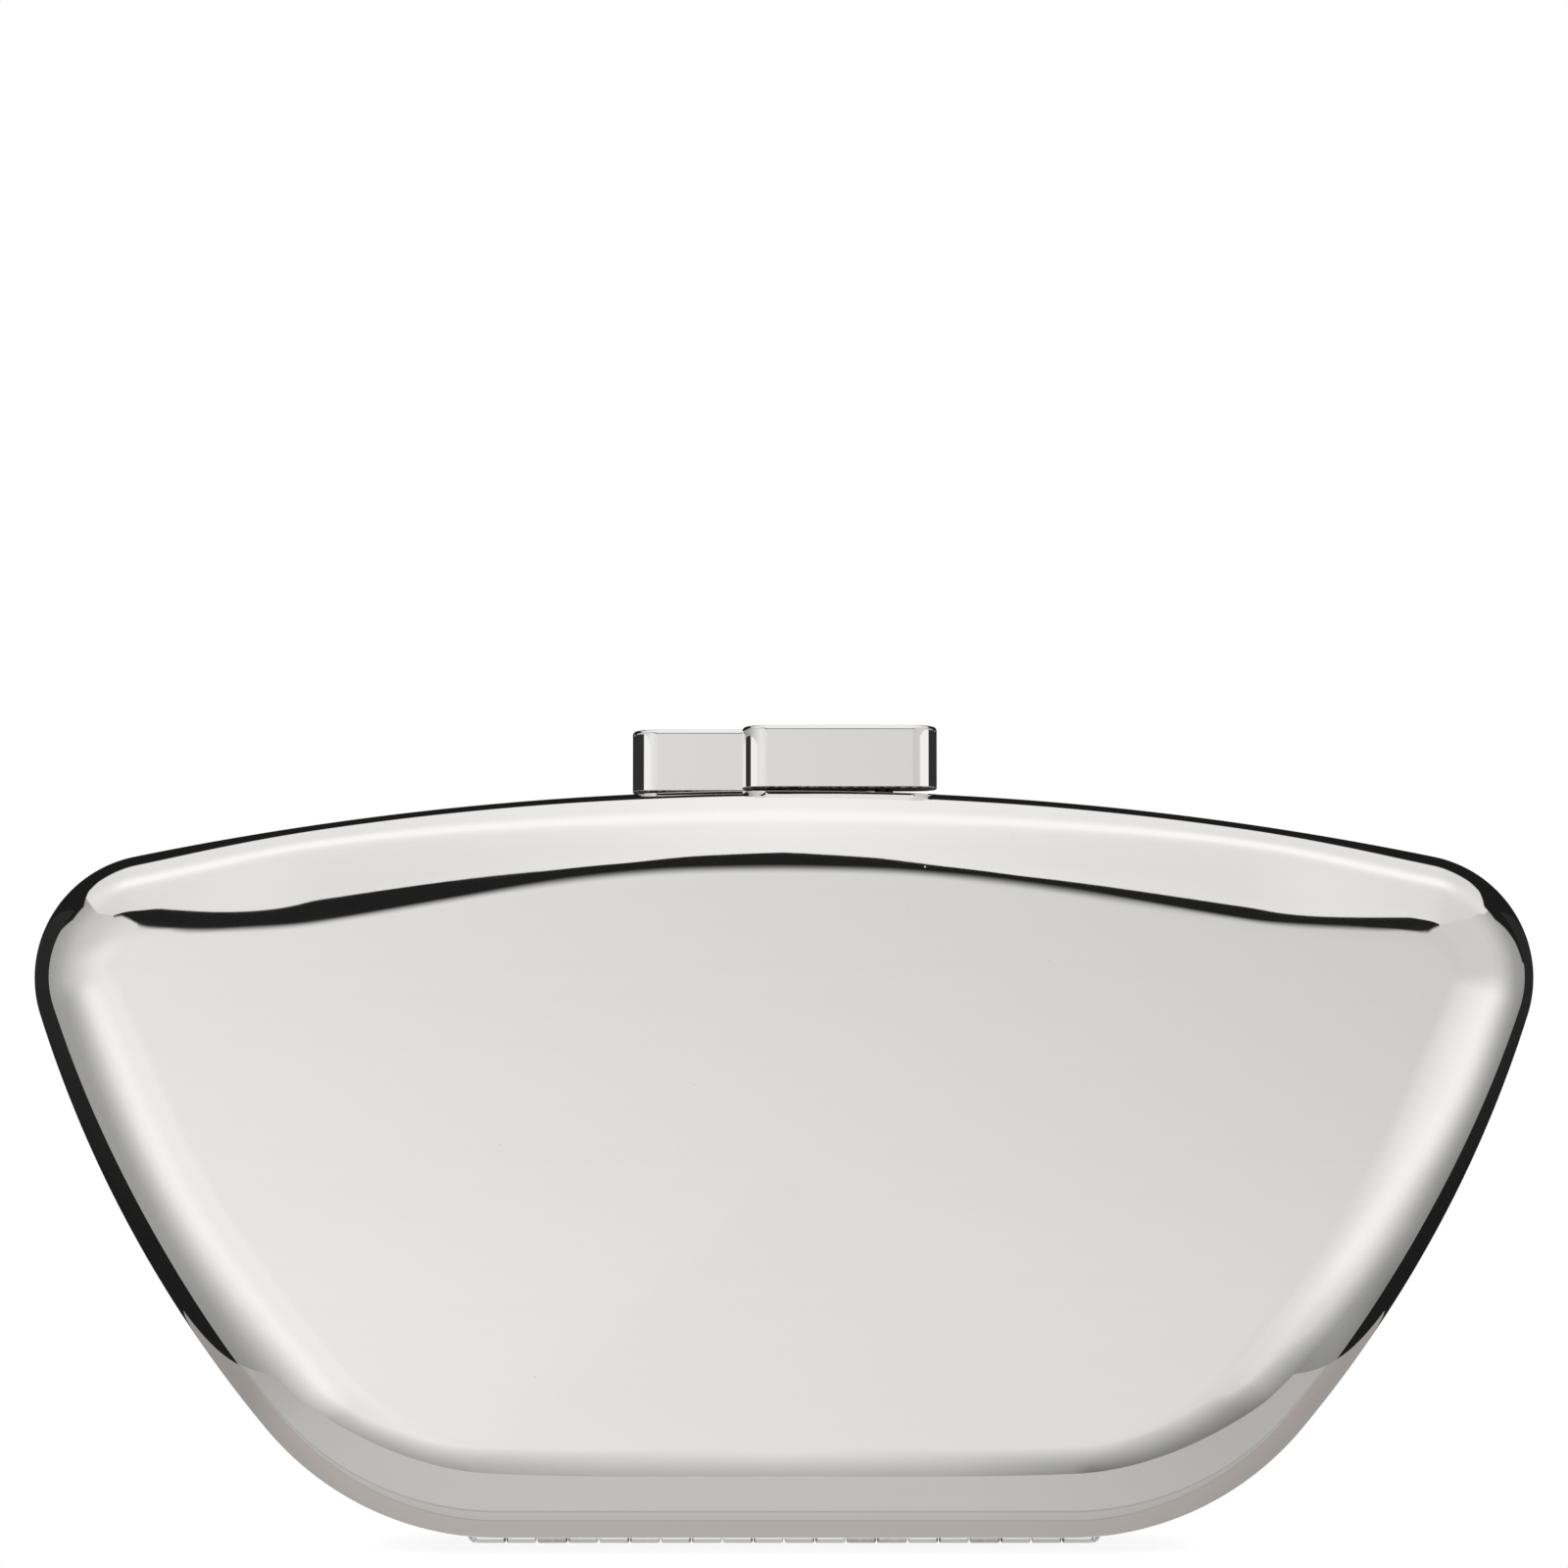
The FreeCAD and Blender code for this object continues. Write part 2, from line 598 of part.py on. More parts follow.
def make_keeper(label, placement):
    """Block under the band, sloped on both sides, that the other half's nose snaps behind."""
    body = new_body(label, placement)
    plan = Drawing(body, "plan", "XY_Plane", f"{SLIDE_UNDER} - keeper_overhang")
    shoulder, end = f"0 - {KEEPER_X} - nose_reach", f"0 - {KEEPER_X} - keeper_length"
    rear, front = f"0 - {KEEPER_Y} - nose_reach", f"0 - {KEEPER_Y} + nose_reach"
    plan.polygon(
        [
            (f"0 - {KEEPER_X}", f"0 - {KEEPER_Y}"),
            (shoulder, front),
            (end, front),
            (end, rear),
            (shoulder, rear),
        ]
    )
    pad(body, plan, "block", f"{KEEPER_SEAT} - {SLIDE_UNDER} + keeper_overhang")


def make_latch_cover(label, placement):
    """Folded sheet below the latch: a floor, two legs and two feet under the band, and a tab bent
    up from the floor for the spring to push on."""
    body = new_body(label, placement)
    section = Drawing(body, "section", "XZ_Plane", f"{MOUTH} + cover_edge_gap")
    leg, leg_inside = f"{COVER_LEG} + cover_thickness", COVER_LEG
    foot_under, floor_under = f"{COVER_SEAT} - cover_thickness", f"{COVER_FLOOR} - cover_thickness"
    half = [
        (leg_inside, COVER_FLOOR),
        (leg_inside, COVER_SEAT),
        (COVER_END, COVER_SEAT),
        (COVER_END, foot_under),
        (leg, foot_under),
        (leg, floor_under),
    ]
    other_half = [(f"0 - ({x})", z) for x, z in reversed(half)]
    section.polygon(half + other_half)
    folded = pad(body, section, "folded", "frame_depth - 2 * cover_edge_gap")
    bends = (value(leg), value(leg_inside))
    depth = value("frame_depth - 2 * cover_edge_gap") - value("tolerance")

    def is_bend(edge):
        at_leg = any(abs(abs(edge.BoundBox.Center.x) - bend) < value("tolerance") for bend in bends)
        return at_leg and edge.BoundBox.YLength > depth

    fillet(body, folded, "bends", "cover_bend", is_bend)
    tab = Drawing(body, "tab", "XY_Plane", f"{COVER_FLOOR} - cover_thickness / 2")
    face = f"{SLIDE_LEFT} - spring_length"
    tab.rectangle(f"{face} - cover_thickness", face, f"{BAR_Y} - tab_width / 2", f"{BAR_Y} + tab_width / 2")
    pad(body, tab, "spring_tab", f"{SLIDE_TOP} + cover_thickness / 2 - {COVER_FLOOR}")
    holes = Drawing(body, "holes", "XY_Plane", f"{COVER_SEAT} + overrun")
    for side in ("", "0 - "):
        holes.circle(f"{side}{COVER_SCREW_X}", BAR_Y, "screw_diameter / 2 + screw_clearance")
    pocket(body, holes, "screw_holes", "cover_thickness + 2 * overrun")


def arc_by_tangents(start, corner, end):
    """Arc from start to end whose end tangents meet at the corner."""
    foot = (start + end) * 0.5
    half_chord, rise = (end - start).Length / 2, (corner - foot).Length
    sagitta = half_chord * (math.hypot(half_chord, rise) - half_chord) / rise
    return Part.Arc(start, foot + (corner - foot) * (sagitta / rise), end).toShape()


def make_return_spring(label, placement):
    """Coil spring along X between the slide and the cover's tab, each quarter turn two tangent arcs."""
    end = value(f"{SLIDE_LEFT} - spring_end_gap - spring_wire / 2")
    start = value(f"{SLIDE_LEFT} - spring_length + spring_end_gap + spring_wire / 2")
    radius, wire = value(f"{SPRING_DIAMETER} / 2"), value("spring_wire")
    turns = SIZES["spring_turns"]
    axis = Vector(0, value(BAR_Y), value(f"{SLIDE_TOP} - slide_thickness / 2"))
    advance = (end - start) / (2 * math.pi * turns)

    def spot(angle):
        around = Vector(0, radius * math.cos(angle), radius * math.sin(angle))
        return axis + around + Vector(start + advance * angle, 0, 0)

    def heading(angle):
        return Vector(advance, -radius * math.sin(angle), radius * math.cos(angle)).normalize()

    edges = []
    for quarter in range(4 * turns):
        first, last = quarter * math.pi / 2, (quarter + 1) * math.pi / 2
        chord, out, into = spot(last) - spot(first), heading(first), heading(last)
        spread, along = 2 * (1 - out.dot(into)), chord.dot(out + into)
        reach = (math.sqrt(along**2 + spread * chord.dot(chord)) - along) / spread
        corner, next_corner = spot(first) + out * reach, spot(last) - into * reach
        middle = (corner + next_corner) * 0.5
        edges.append(arc_by_tangents(spot(first), corner, middle))
        edges.append(arc_by_tangents(middle, next_corner, spot(last)))
    section = Part.Wire(Part.makeCircle(wire / 2, spot(0), heading(0)))
    spring = doc.addObject("Part::Feature", f"Coil_{label}")
    spring.Label = label
    spring.Shape = Part.Wire(edges).makePipeShell([section], True, False)
    spring.Placement = placement
    nodes.append(spring)
    gap = min((spot(angle + 2 * math.pi) - spot(angle)).Length for angle in range(6 * (turns - 1))) - wire
    print(f"{label}: least gap between turns {gap:.2f} mm")


def make_half(side, placement):
    make_shell(f"{side}_shell", placement)
    make_rim_frame(f"{side}_rim_frame", placement)
    make_lining(f"{side}_lining", placement)
    make_hinge_leaf(f"{side}_hinge_leaf", placement)
    make_hinge_rivets(f"{side}_hinge_rivets", placement)
    make_clasp_bar(f"{side}_clasp_bar", placement)
    make_latch_slide(f"{side}_latch_slide", placement)
    make_screws(
        f"{side}_slide_screws", placement, STEM_PLACES, SLIDE_UNDER, "slide_thickness + screw_depth"
    )
    make_return_spring(f"{side}_return_spring", placement)
    make_keeper(f"{side}_keeper", placement)
    make_latch_cover(f"{side}_latch_cover", placement)
    make_screws(
        f"{side}_cover_screws",
        placement,
        [COVER_SCREW_X, f"0 - {COVER_SCREW_X}"],
        f"({COVER_SEAT} - cover_thickness)",
        "cover_thickness + frame_thickness",
    )


as_drawn = FreeCAD.Placement()
turned_round = FreeCAD.Placement(Vector(0, 0, 0), FreeCAD.Rotation(Vector(0, 0, 1), 180))
make_half("front", as_drawn)
make_half("back", turned_round)
make_hinge_pin("hinge_pin", as_drawn)
doc.recompute()

for item in doc.Objects:
    if "Invalid" in item.State or "Error" in item.State:
        raise RuntimeError(f"{item.Name} failed: {item.State}")
for node in nodes:
    if node.Shape.isNull() or not node.Shape.isValid() or not node.Shape.Solids:
        raise RuntimeError(f"{node.Label} has no valid solid")

os.makedirs("parts", exist_ok=True)
for node in nodes:
    node.Shape.exportStep(f"parts/{node.Label}.step")
    box = node.Shape.BoundBox
    print(f"{node.Label}: {len(node.Shape.Solids)} solids, {node.Shape.Volume:.1f} mm3,"
          f" z {box.ZMin:.2f} to {box.ZMax:.2f}")
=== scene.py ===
import math

import bmesh
import bpy
from mathutils import Matrix, Vector


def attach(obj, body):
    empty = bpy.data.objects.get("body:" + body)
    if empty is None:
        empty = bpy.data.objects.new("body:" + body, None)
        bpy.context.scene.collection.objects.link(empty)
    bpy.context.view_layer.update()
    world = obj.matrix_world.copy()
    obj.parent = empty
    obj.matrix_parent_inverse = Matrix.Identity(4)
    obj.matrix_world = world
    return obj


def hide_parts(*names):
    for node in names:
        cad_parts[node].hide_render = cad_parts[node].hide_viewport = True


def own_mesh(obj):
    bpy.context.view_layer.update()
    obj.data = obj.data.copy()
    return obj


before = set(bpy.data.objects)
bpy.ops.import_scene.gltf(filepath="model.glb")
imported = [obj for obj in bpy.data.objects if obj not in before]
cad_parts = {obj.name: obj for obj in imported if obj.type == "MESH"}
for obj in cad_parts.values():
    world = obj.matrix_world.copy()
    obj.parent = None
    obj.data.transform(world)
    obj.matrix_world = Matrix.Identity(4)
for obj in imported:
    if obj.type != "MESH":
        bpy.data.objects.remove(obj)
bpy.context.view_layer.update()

# Shells. Two shallow trays drawn from sheet metal, silver plated and buffed to a mirror: a straight
# wall at the mouth, a rolled edge and a flat face. The back one is the front one turned round. A notch
# in the wall clears the hinge barrel, and two slots in the top let the clasp bar's stems slide.
MM = 0.001
body_width = 200 * MM
shell_under = 1.4 * MM
shell_top = 100.9 * MM
shoulder_drop = 25 * MM
upper_radius = 16.5 * MM
side_radius = 162 * MM
lower_radius = 40.5 * MM
flat_half = 37.8 * MM
mouth = 0.1 * MM
shell_depth = 22.5 * MM
shell_wall = 1 * MM
roll_radius = 12.5 * MM
roll_fade = 2.6 * MM
roll_steps = 48
fade_steps = 9
shoulder_wear = 2.2
corner_wear = 2
wear_reach = 10 * MM
shell_edge = 0.12 * MM
sharp_from = math.radians(60)
bottom_cuts = 41
notch_half = 43 * MM
notch_depth = 1.9 * MM
notch_top = 10 * MM
stem_places = (1.5 * MM, 13.5 * MM)
stem_y = -3.7 * MM
bar_travel = 3 * MM
slot_radius = 1.45 * MM
slot_depth = 12 * MM

corner_x = body_width / 2 - upper_radius
arch_radius = corner_x**2 + shoulder_drop**2 - upper_radius**2
arch_radius /= 2 * (shoulder_drop - upper_radius)
low_centre = Vector((flat_half, 0, shell_under + lower_radius))
high_centre = Vector((corner_x, 0, shell_top - shoulder_drop))
arch_centre = Vector((0, 0, shell_top - arch_radius))
low_to_high = high_centre - low_centre
from_low = side_radius - lower_radius
from_high = side_radius - upper_radius
side_share = (from_low**2 - from_high**2 + low_to_high.length_squared) / (2 * low_to_high.length_squared)
side_set_in = math.sqrt(from_low**2 - (side_share * low_to_high.length) ** 2)
side_centre = low_centre + low_to_high * side_share
side_centre += Vector((-low_to_high.z, 0, low_to_high.x)).normalized() * side_set_in


def heading(start, end):
    """Angle of the line from start to end in the rim's plane."""
    return math.atan2(end.z - start.z, end.x - start.x)


def across(point):
    """The same point on the other side of the middle."""
    return Vector((-point.x, point.y, point.z))


notch_turn = math.asin((notch_half - flat_half) / lower_radius)
low_turn = heading(side_centre, low_centre) + math.pi / 2 - notch_turn
side_turn = heading(side_centre, high_centre) - heading(side_centre, low_centre)
high_turn = heading(arch_centre, high_centre) - heading(side_centre, high_centre)
arch_turn = math.pi - 2 * heading(arch_centre, high_centre)
rim_arcs = [
    (low_centre, notch_turn, 6),
    (low_centre, low_turn, 34),
    (side_centre, side_turn, 36),
    (high_centre, high_turn, 44),
    (arch_centre, arch_turn, 170),
    (across(high_centre), high_turn, 44),
    (across(side_centre), side_turn, 36),
    (across(low_centre), low_turn, 34),
    (across(low_centre), notch_turn, 6),
]


def corners_in(items):
    """The vertices among the things that an operator gives back."""
    return [item for item in items if isinstance(item, bmesh.types.BMVert)]


def edges_in(items):
    """The edges among the things that an operator gives back."""
    return [item for item in items if isinstance(item, bmesh.types.BMEdge)]


def draw_rim(bm, inset, y):
    """Draw the closed rim line, drawn in by inset, spinning a point round each arc's centre in turn."""
    first = tip = bm.verts.new((flat_half, y, shell_under + inset))
    for centre, turn, steps in rim_arcs:
        middle = (centre.x, y, centre.z)
        spun = bmesh.ops.spin(bm, geom=[tip], cent=middle, axis=(0, -1, 0), angle=turn, steps=steps)
        tip = corners_in(spun["geom_last"])[0]
    bottom = bm.edges.new((tip, first))
    bmesh.ops.subdivide_edges(bm, edges=[bottom], cuts=bottom_cuts)
    return [edge for edge in bm.edges if edge.is_wire]


def pull(bm, edges, depth):
    """Draw a loop of edges out into a wall, towards the face."""
    pulled = bmesh.ops.extrude_edge_only(bm, edges=edges)["geom"]
    bmesh.ops.translate(bm, verts=corners_in(pulled), vec=(0, -depth, 0))
    return edges_in(pulled)


def ease(value, start, end):
    """Go smoothly from 0 at start to 1 at end."""
    share = min(max((value - start) / (end - start), 0), 1)
    return share * share * (3 - 2 * share)


def worn(x, z):
    """How far the buffing wheel has carried the roll into the face: most at the shoulders and the
    lower corners, where it dwelt, and nothing at the middle of the top and the bottom."""
    x, z = abs(x) / MM, z / MM
    shoulder = shoulder_wear * ease(x, 12, 62) * ease(x, 86, 62) * ease(z, 74, 82)
    corner = corner_wear * ease(x, 22, 70) * (1 - 0.6 * ease(z, 20, 50)) * ease(z, 80, 62)
    return (shoulder + corner) * MM


def roll_over(bm, edges, radius, steps, flat_steps, inside):
    """Close a loop with a face, set that in step by step, on over the flat, and sink each step's ring
    to a quarter circle, which the wear carries further in. Inside is how far this rim lies within the
    shell's."""
    face = bmesh.ops.contextual_create(bm, geom=edges)["faces"][0]
    face.normal_update()
    if face.normal.y > 0:
        face.normal_flip()
    start = face.verts[0].co.y
    insets = [radius * (1 - math.cos(math.pi / 2 * step / steps)) for step in range(1, steps + 1)]
    insets += [radius + roll_fade * step / flat_steps for step in range(1, flat_steps + 1)]
    set_in = bm.verts.layers.float.new("set_in")
    reached = 0
    for inset in insets:
        bmesh.ops.inset_region(
            bm, faces=[face], thickness=inset - reached, depth=0, use_boundary=True, use_even_offset=True
        )
        reached = inset
        for corner in face.verts:
            corner[set_in] = inset
    for corner in bm.verts:
        if corner[set_in]:
            carried = worn(corner.co.x, corner.co.z) * ease(corner[set_in] + inside, 0, wear_reach)
            rise = min(max(radius - corner[set_in] + carried, 0), radius)
            corner.co.y = start - math.sqrt(radius**2 - rise**2)
    bm.verts.layers.float.remove(set_in)


def new_piece(name, bm, material):
    """Make a smooth-shaded object of a finished bmesh, at the origin."""
    mesh = bpy.data.meshes.new(name)
    bm.to_mesh(mesh)
    bm.free()
    mesh.shade_smooth()
    mesh.materials.append(material)
    piece = bpy.data.objects.new(name, mesh)
    bpy.context.scene.collection.objects.link(piece)
    return piece


def turn_round(bm, turn):
    """Turn a half's piece about the upright axis to make the other half's."""
    bmesh.ops.rotate(bm, verts=bm.verts[:], cent=(0, 0, 0), matrix=Matrix.Rotation(turn, 3, "Z"))


def for_both_halves(make):
    """Make a piece for the front half and, turned round, for the back half."""
    make("front", 0)
    make("back", math.pi)


def sharp_edges(bm):
    """The edges where two faces meet at a real corner."""
    return [edge for edge in bm.edges if edge.calc_face_angle(0) > sharp_from]


def round_off(bm, edges, radius, segments):
    """Round edges off, as a file and the wheel do."""
    bmesh.ops.bevel(
        bm, geom=edges, offset=radius, segments=segments, profile=0.5, affect="EDGES", material=-1
    )


def cut_away(bm, tools):
    """Cut one bmesh's closed shapes out of another's."""
    parts = []
    for shape in (bm, tools):
        mesh = bpy.data.meshes.new("cut")
        shape.to_mesh(mesh)
        part = bpy.data.objects.new("cut", mesh)
        bpy.context.scene.collection.objects.link(part)
        parts.append(part)
    tools.free()
    cut = parts[0].modifiers.new("cut", "BOOLEAN")
    cut.object = parts[1]
    cut.operation = "DIFFERENCE"
    cut.solver = "EXACT"
    shaped = parts[0].evaluated_get(bpy.context.evaluated_depsgraph_get())
    bm.clear()
    bm.from_mesh(shaped.to_mesh())
    shaped.to_mesh_clear()
    for part in parts:
        mesh = part.data
        bpy.data.objects.remove(part)
        bpy.data.meshes.remove(mesh)


def cut_stem_slots(bm):
    """Cut the slots that the clasp bar's stems slide in."""
    slots = bmesh.new()
    for place in stem_places:
        start = Matrix.Translation((place - bar_travel, stem_y, shell_top))
        pin = bmesh.ops.create_cone(
            slots,
            cap_ends=True,
            segments=32,
            radius1=slot_radius,
            radius2=slot_radius,
            depth=slot_depth,
            matrix=start,
        )["verts"]
        far = [corner for corner in pin if corner.co.x > place - bar_travel + slot_radius / 100]
        bmesh.ops.translate(slots, verts=far, vec=(bar_travel, 0, 0))
    cut_away(bm, slots)


def add(tree, kind, inputs, **settings):
    """Add a shader node, with each input set to a value or linked to another node's output."""
    node = tree.nodes.new(f"ShaderNode{kind}")
    for setting, value in settings.items():
        setattr(node, setting, value)
    for label, source in inputs.items():
        if isinstance(source, bpy.types.NodeSocket):
            tree.links.new(source, node.inputs[label])
        else:
            node.inputs[label].default_value = source
    return node


def new_group(name, inputs, outputs):
    """Start a shader group with named sockets, and give its tree, its inputs and its outputs."""
    tree = bpy.data.node_groups.new(name, "ShaderNodeTree")
    for label, kind in inputs.items():
        tree.interface.new_socket(label, in_out="INPUT", socket_type=f"NodeSocket{kind}")
    for label, kind in outputs.items():
        tree.interface.new_socket(label, in_out="OUTPUT", socket_type=f"NodeSocket{kind}")
    return tree, tree.nodes.new("NodeGroupInput").outputs, tree.nodes.new("NodeGroupOutput").inputs


def shaded(tree, share, colour, shade):
    """Multiply a colour by a shade, as far as the share says."""
    inputs = {0: share, 6: colour, 7: shade}
    return add(tree, "Mix", inputs, data_type="RGBA", blend_type="MULTIPLY").outputs[2]


# Buffing leaves long faint streaks, a slight haze, ripples finer than a fingertip and a few dust specks
finish_inputs = {"Vector": "Vector", "Colour": "Color", "Roughness": "Float", "Streaks": "Float"}
finish_outputs = {"Colour": "Color", "Roughness": "Float", "Height": "Float"}
streak_stretch = (7, 420, 420)
streak_shade = (0.8, 0.8, 0.8, 1)
streak_height = 0.12
haze_roughness = 0.03
speck_radius = 0.055
speck_rarity = 0.955
speck_roughness = 0.55

buffing, given, made = new_group("buffing", finish_inputs, finish_outputs)
stretched = {0: given["Vector"], 1: streak_stretch}
along = add(buffing, "VectorMath", stretched, operation="MULTIPLY").outputs[0]
streak = add(buffing, "TexNoise", {"Vector": along, "Scale": 1, "Detail": 4}).outputs[0]
haze = add(buffing, "TexNoise", {"Vector": given["Vector"], "Scale": 24, "Detail": 3}).outputs[0]
ripple = add(buffing, "TexNoise", {"Vector": given["Vector"], "Scale": 520, "Detail": 1}).outputs[0]
cell = add(buffing, "TexVoronoi", {"Vector": given["Vector"], "Scale": 430}).outputs
near = add(buffing, "Math", {0: cell["Distance"], 1: speck_radius}, operation="LESS_THAN").outputs[0]
draw = add(buffing, "SeparateColor", {"Color": cell["Color"]}).outputs["Red"]
few = add(buffing, "Math", {0: draw, 1: speck_rarity}, operation="GREATER_THAN").outputs[0]
speck = add(buffing, "Math", {0: near, 1: few}, operation="MULTIPLY").outputs[0]
mark = add(buffing, "MapRange", {"Value": streak, "From Min": 0.42, "From Max": 0.72}).outputs[0]
mark = add(buffing, "Math", {0: mark, 1: given["Streaks"]}, operation="MULTIPLY").outputs[0]
buffing.links.new(shaded(buffing, mark, given["Colour"], streak_shade), made["Colour"])
haze_range = {"Value": haze, "From Min": 0.35, "From Max": 0.75, "To Max": haze_roughness}
dull = add(buffing, "MapRange", haze_range).outputs[0]
dull = add(buffing, "Math", {0: dull, 1: given["Roughness"]}, operation="ADD").outputs[0]
dull = add(buffing, "Math", {0: speck, 1: speck_roughness, 2: dull}, operation="MULTIPLY_ADD").outputs[0]
buffing.links.new(dull, made["Roughness"])
relief = {0: streak, 1: streak_height, 2: ripple}
height = add(buffing, "Math", relief, operation="MULTIPLY_ADD").outputs[0]
buffing.links.new(height, made["Height"])


def metal(name, finish, colour, roughness, marks, depth):
    """A metal with one of the finishes: its colour and roughness vary, and its marks have depth."""
    material = bpy.data.materials.new(name)
    material.use_nodes = True
    tree = material.node_tree
    skin = tree.nodes["Principled BSDF"]
    skin.inputs["Metallic"].default_value = 1
    place = add(tree, "TexCoord", {}).outputs["Object"]
    group = tree.nodes.new("ShaderNodeGroup")
    group.node_tree = finish
    tree.links.new(place, group.inputs["Vector"])
    group.inputs["Colour"].default_value = (*colour, 1)
    group.inputs["Roughness"].default_value = roughness
    group.inputs["Streaks"].default_value = marks
    bump = add(tree, "Bump", {"Height": group.outputs["Height"], "Distance": depth})
    tree.links.new(group.outputs["Colour"], skin.inputs["Base Color"])
    tree.links.new(group.outputs["Roughness"], skin.inputs["Roughness"])
    tree.links.new(bump.outputs["Normal"], skin.inputs["Normal"])
    return material


polish = {"colour": (0.944, 0.935, 0.918), "roughness": 0.02, "marks": 0.04, "depth": 0.0006 * MM}
mirror_silver = metal("mirror_silver", buffing, **polish)


def make_shell(side, turn):
    bm = bmesh.new()
    rim = draw_rim(bm, 0, -mouth)
    waist = pull(bm, rim, notch_depth - mouth)
    knee = pull(bm, waist, shell_depth - roll_radius - notch_depth)
    roll_over(bm, knee, roll_radius, roll_steps, fade_steps, 0)
    notch = []
    for face in bm.faces:
        middle = face.calc_center_median()
        if middle.y > -notch_depth and abs(middle.x) < notch_half and middle.z < notch_top:
            notch.append(face)
    bmesh.ops.delete(bm, geom=notch, context="FACES")
    bmesh.ops.recalc_face_normals(bm, faces=bm.faces[:])
    bmesh.ops.solidify(bm, geom=bm.faces[:], thickness=shell_wall)
    round_off(bm, sharp_edges(bm), shell_edge, 2)
    cut_stem_slots(bm)
    turn_round(bm, turn)
    shell = new_piece(f"{side}_drawn_shell", bm, mirror_silver)
    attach(shell, f"{side}_half")
    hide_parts(f"{side}_shell")


for_both_halves(make_shell)

# Rim frames. A flat band of the same metal soldered inside each mouth to stiffen it, open along the
# hinge. It is brushed, not buffed, and slotted like the shell for the clasp bar's stems.
frame_outside = 1.05 * MM
frame_thickness = 1.5 * MM
frame_depth = 7 * MM
frame_edge = 0.15 * MM

# Brushing leaves fine scratches along the strip, which scatter light and vary in depth
scratch_stretch = (40, 4200, 40)
scratch_shade = (0.6, 0.6, 0.6, 1)
scratch_roughness = 0.16
rubbed_roughness = 0.12

brushing, given, made = new_group("brushing", finish_inputs, finish_outputs)
stretched = {0: given["Vector"], 1: scratch_stretch}
along = add(brushing, "VectorMath", stretched, operation="MULTIPLY").outputs[0]
scratch = add(brushing, "TexNoise", {"Vector": along, "Scale": 1, "Detail": 5}).outputs[0]
haze = add(brushing, "TexNoise", {"Vector": given["Vector"], "Scale": 160, "Detail": 3}).outputs[0]
mark = add(brushing, "MapRange", {"Value": scratch, "From Min": 0.35, "From Max": 0.7}).outputs[0]
share = add(brushing, "Math", {0: mark, 1: given["Streaks"]}, operation="MULTIPLY").outputs[0]
brushing.links.new(shaded(brushing, share, given["Colour"], scratch_shade), made["Colour"])
scratched = {0: mark, 1: scratch_roughness, 2: given["Roughness"]}
dull = add(brushing, "Math", scratched, operation="MULTIPLY_ADD").outputs[0]
rubbed = {0: haze, 1: rubbed_roughness, 2: dull}
dull = add(brushing, "Math", rubbed, operation="MULTIPLY_ADD").outputs[0]
brushing.links.new(dull, made["Roughness"])
brushing.links.new(scratch, made["Height"])

satin_silver = metal(
    "satin_silver", brushing, colour=(0.86, 0.85, 0.83), roughness=0.16, marks=0.35, depth=0.006 * MM
)


def make_rim_frame(side, turn):
    bm = bmesh.new()
    rim = draw_rim(bm, frame_outside, -mouth)
    pull(bm, rim, frame_depth)
    gap = []
    for face in bm.faces:
        middle = face.calc_center_median()
        if abs(middle.x) < notch_half - frame_outside and middle.z < shell_top / 2:
            gap.append(face)
    bmesh.ops.delete(bm, geom=gap, context="FACES")
    bmesh.ops.recalc_face_normals(bm, faces=bm.faces[:])
    bmesh.ops.solidify(bm, geom=bm.faces[:], thickness=frame_thickness)
    round_off(bm, sharp_edges(bm), frame_edge, 2)
    cut_stem_slots(bm)
    turn_round(bm, turn)
    band = new_piece(f"{side}_mouth_band", bm, satin_silver)
    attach(band, f"{side}_half")
    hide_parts(f"{side}_rim_frame")


for_both_halves(make_rim_frame)

# Linings. Thin board trays covered in grey suede with the cover turned over the edge, glued into the
# shells behind the bands. The nap lies in patches where it has been stroked.
lining_inset = 1.15 * MM
lining_thickness = 1 * MM
lining_start = 7.4 * MM
lining_roll_steps = 24
lining_fade_steps = 5
lining_edge = 0.45 * MM
suede_dark = (0.1, 0.1, 0.108, 1)
suede_light = (0.21, 0.21, 0.222, 1)
stroke_share = 0.6
fibre_share = 0.4
fibre_depth = 0.12 * MM

grey_suede = bpy.data.materials.new("grey_suede")
grey_suede.use_nodes = True
tree = grey_suede.node_tree
skin = tree.nodes["Principled BSDF"]
skin.inputs["Sheen Weight"].default_value = 0.45
skin.inputs["Sheen Roughness"].default_value = 0.4
skin.inputs["Specular IOR Level"].default_value = 0.15
place = add(tree, "TexCoord", {}).outputs["Object"]
stroke = add(tree, "TexNoise", {"Vector": place, "Scale": 55, "Detail": 3, "Distortion": 1.2}).outputs[0]
fibre = add(tree, "TexNoise", {"Vector": place, "Scale": 1900, "Detail": 4}).outputs[0]
nap = add(tree, "Math", {0: stroke, 1: stroke_share}, operation="MULTIPLY").outputs[0]
nap = add(tree, "Math", {0: fibre, 1: fibre_share, 2: nap}, operation="MULTIPLY_ADD").outputs[0]
nap = add(tree, "MapRange", {"Value": nap, "From Min": 0.34, "From Max": 0.66}).outputs[0]
shade = add(tree, "Mix", {0: nap, 6: suede_dark, 7: suede_light}, data_type="RGBA").outputs[2]
tree.links.new(shade, skin.inputs["Base Color"])
dull = add(tree, "MapRange", {"Value": fibre, "To Min": 0.86, "To Max": 1.0}).outputs[0]
tree.links.new(dull, skin.inputs["Roughness"])
bump = add(tree, "Bump", {"Height": fibre, "Distance": fibre_depth, "Strength": 0.7}).outputs["Normal"]
tree.links.new(bump, skin.inputs["Normal"])


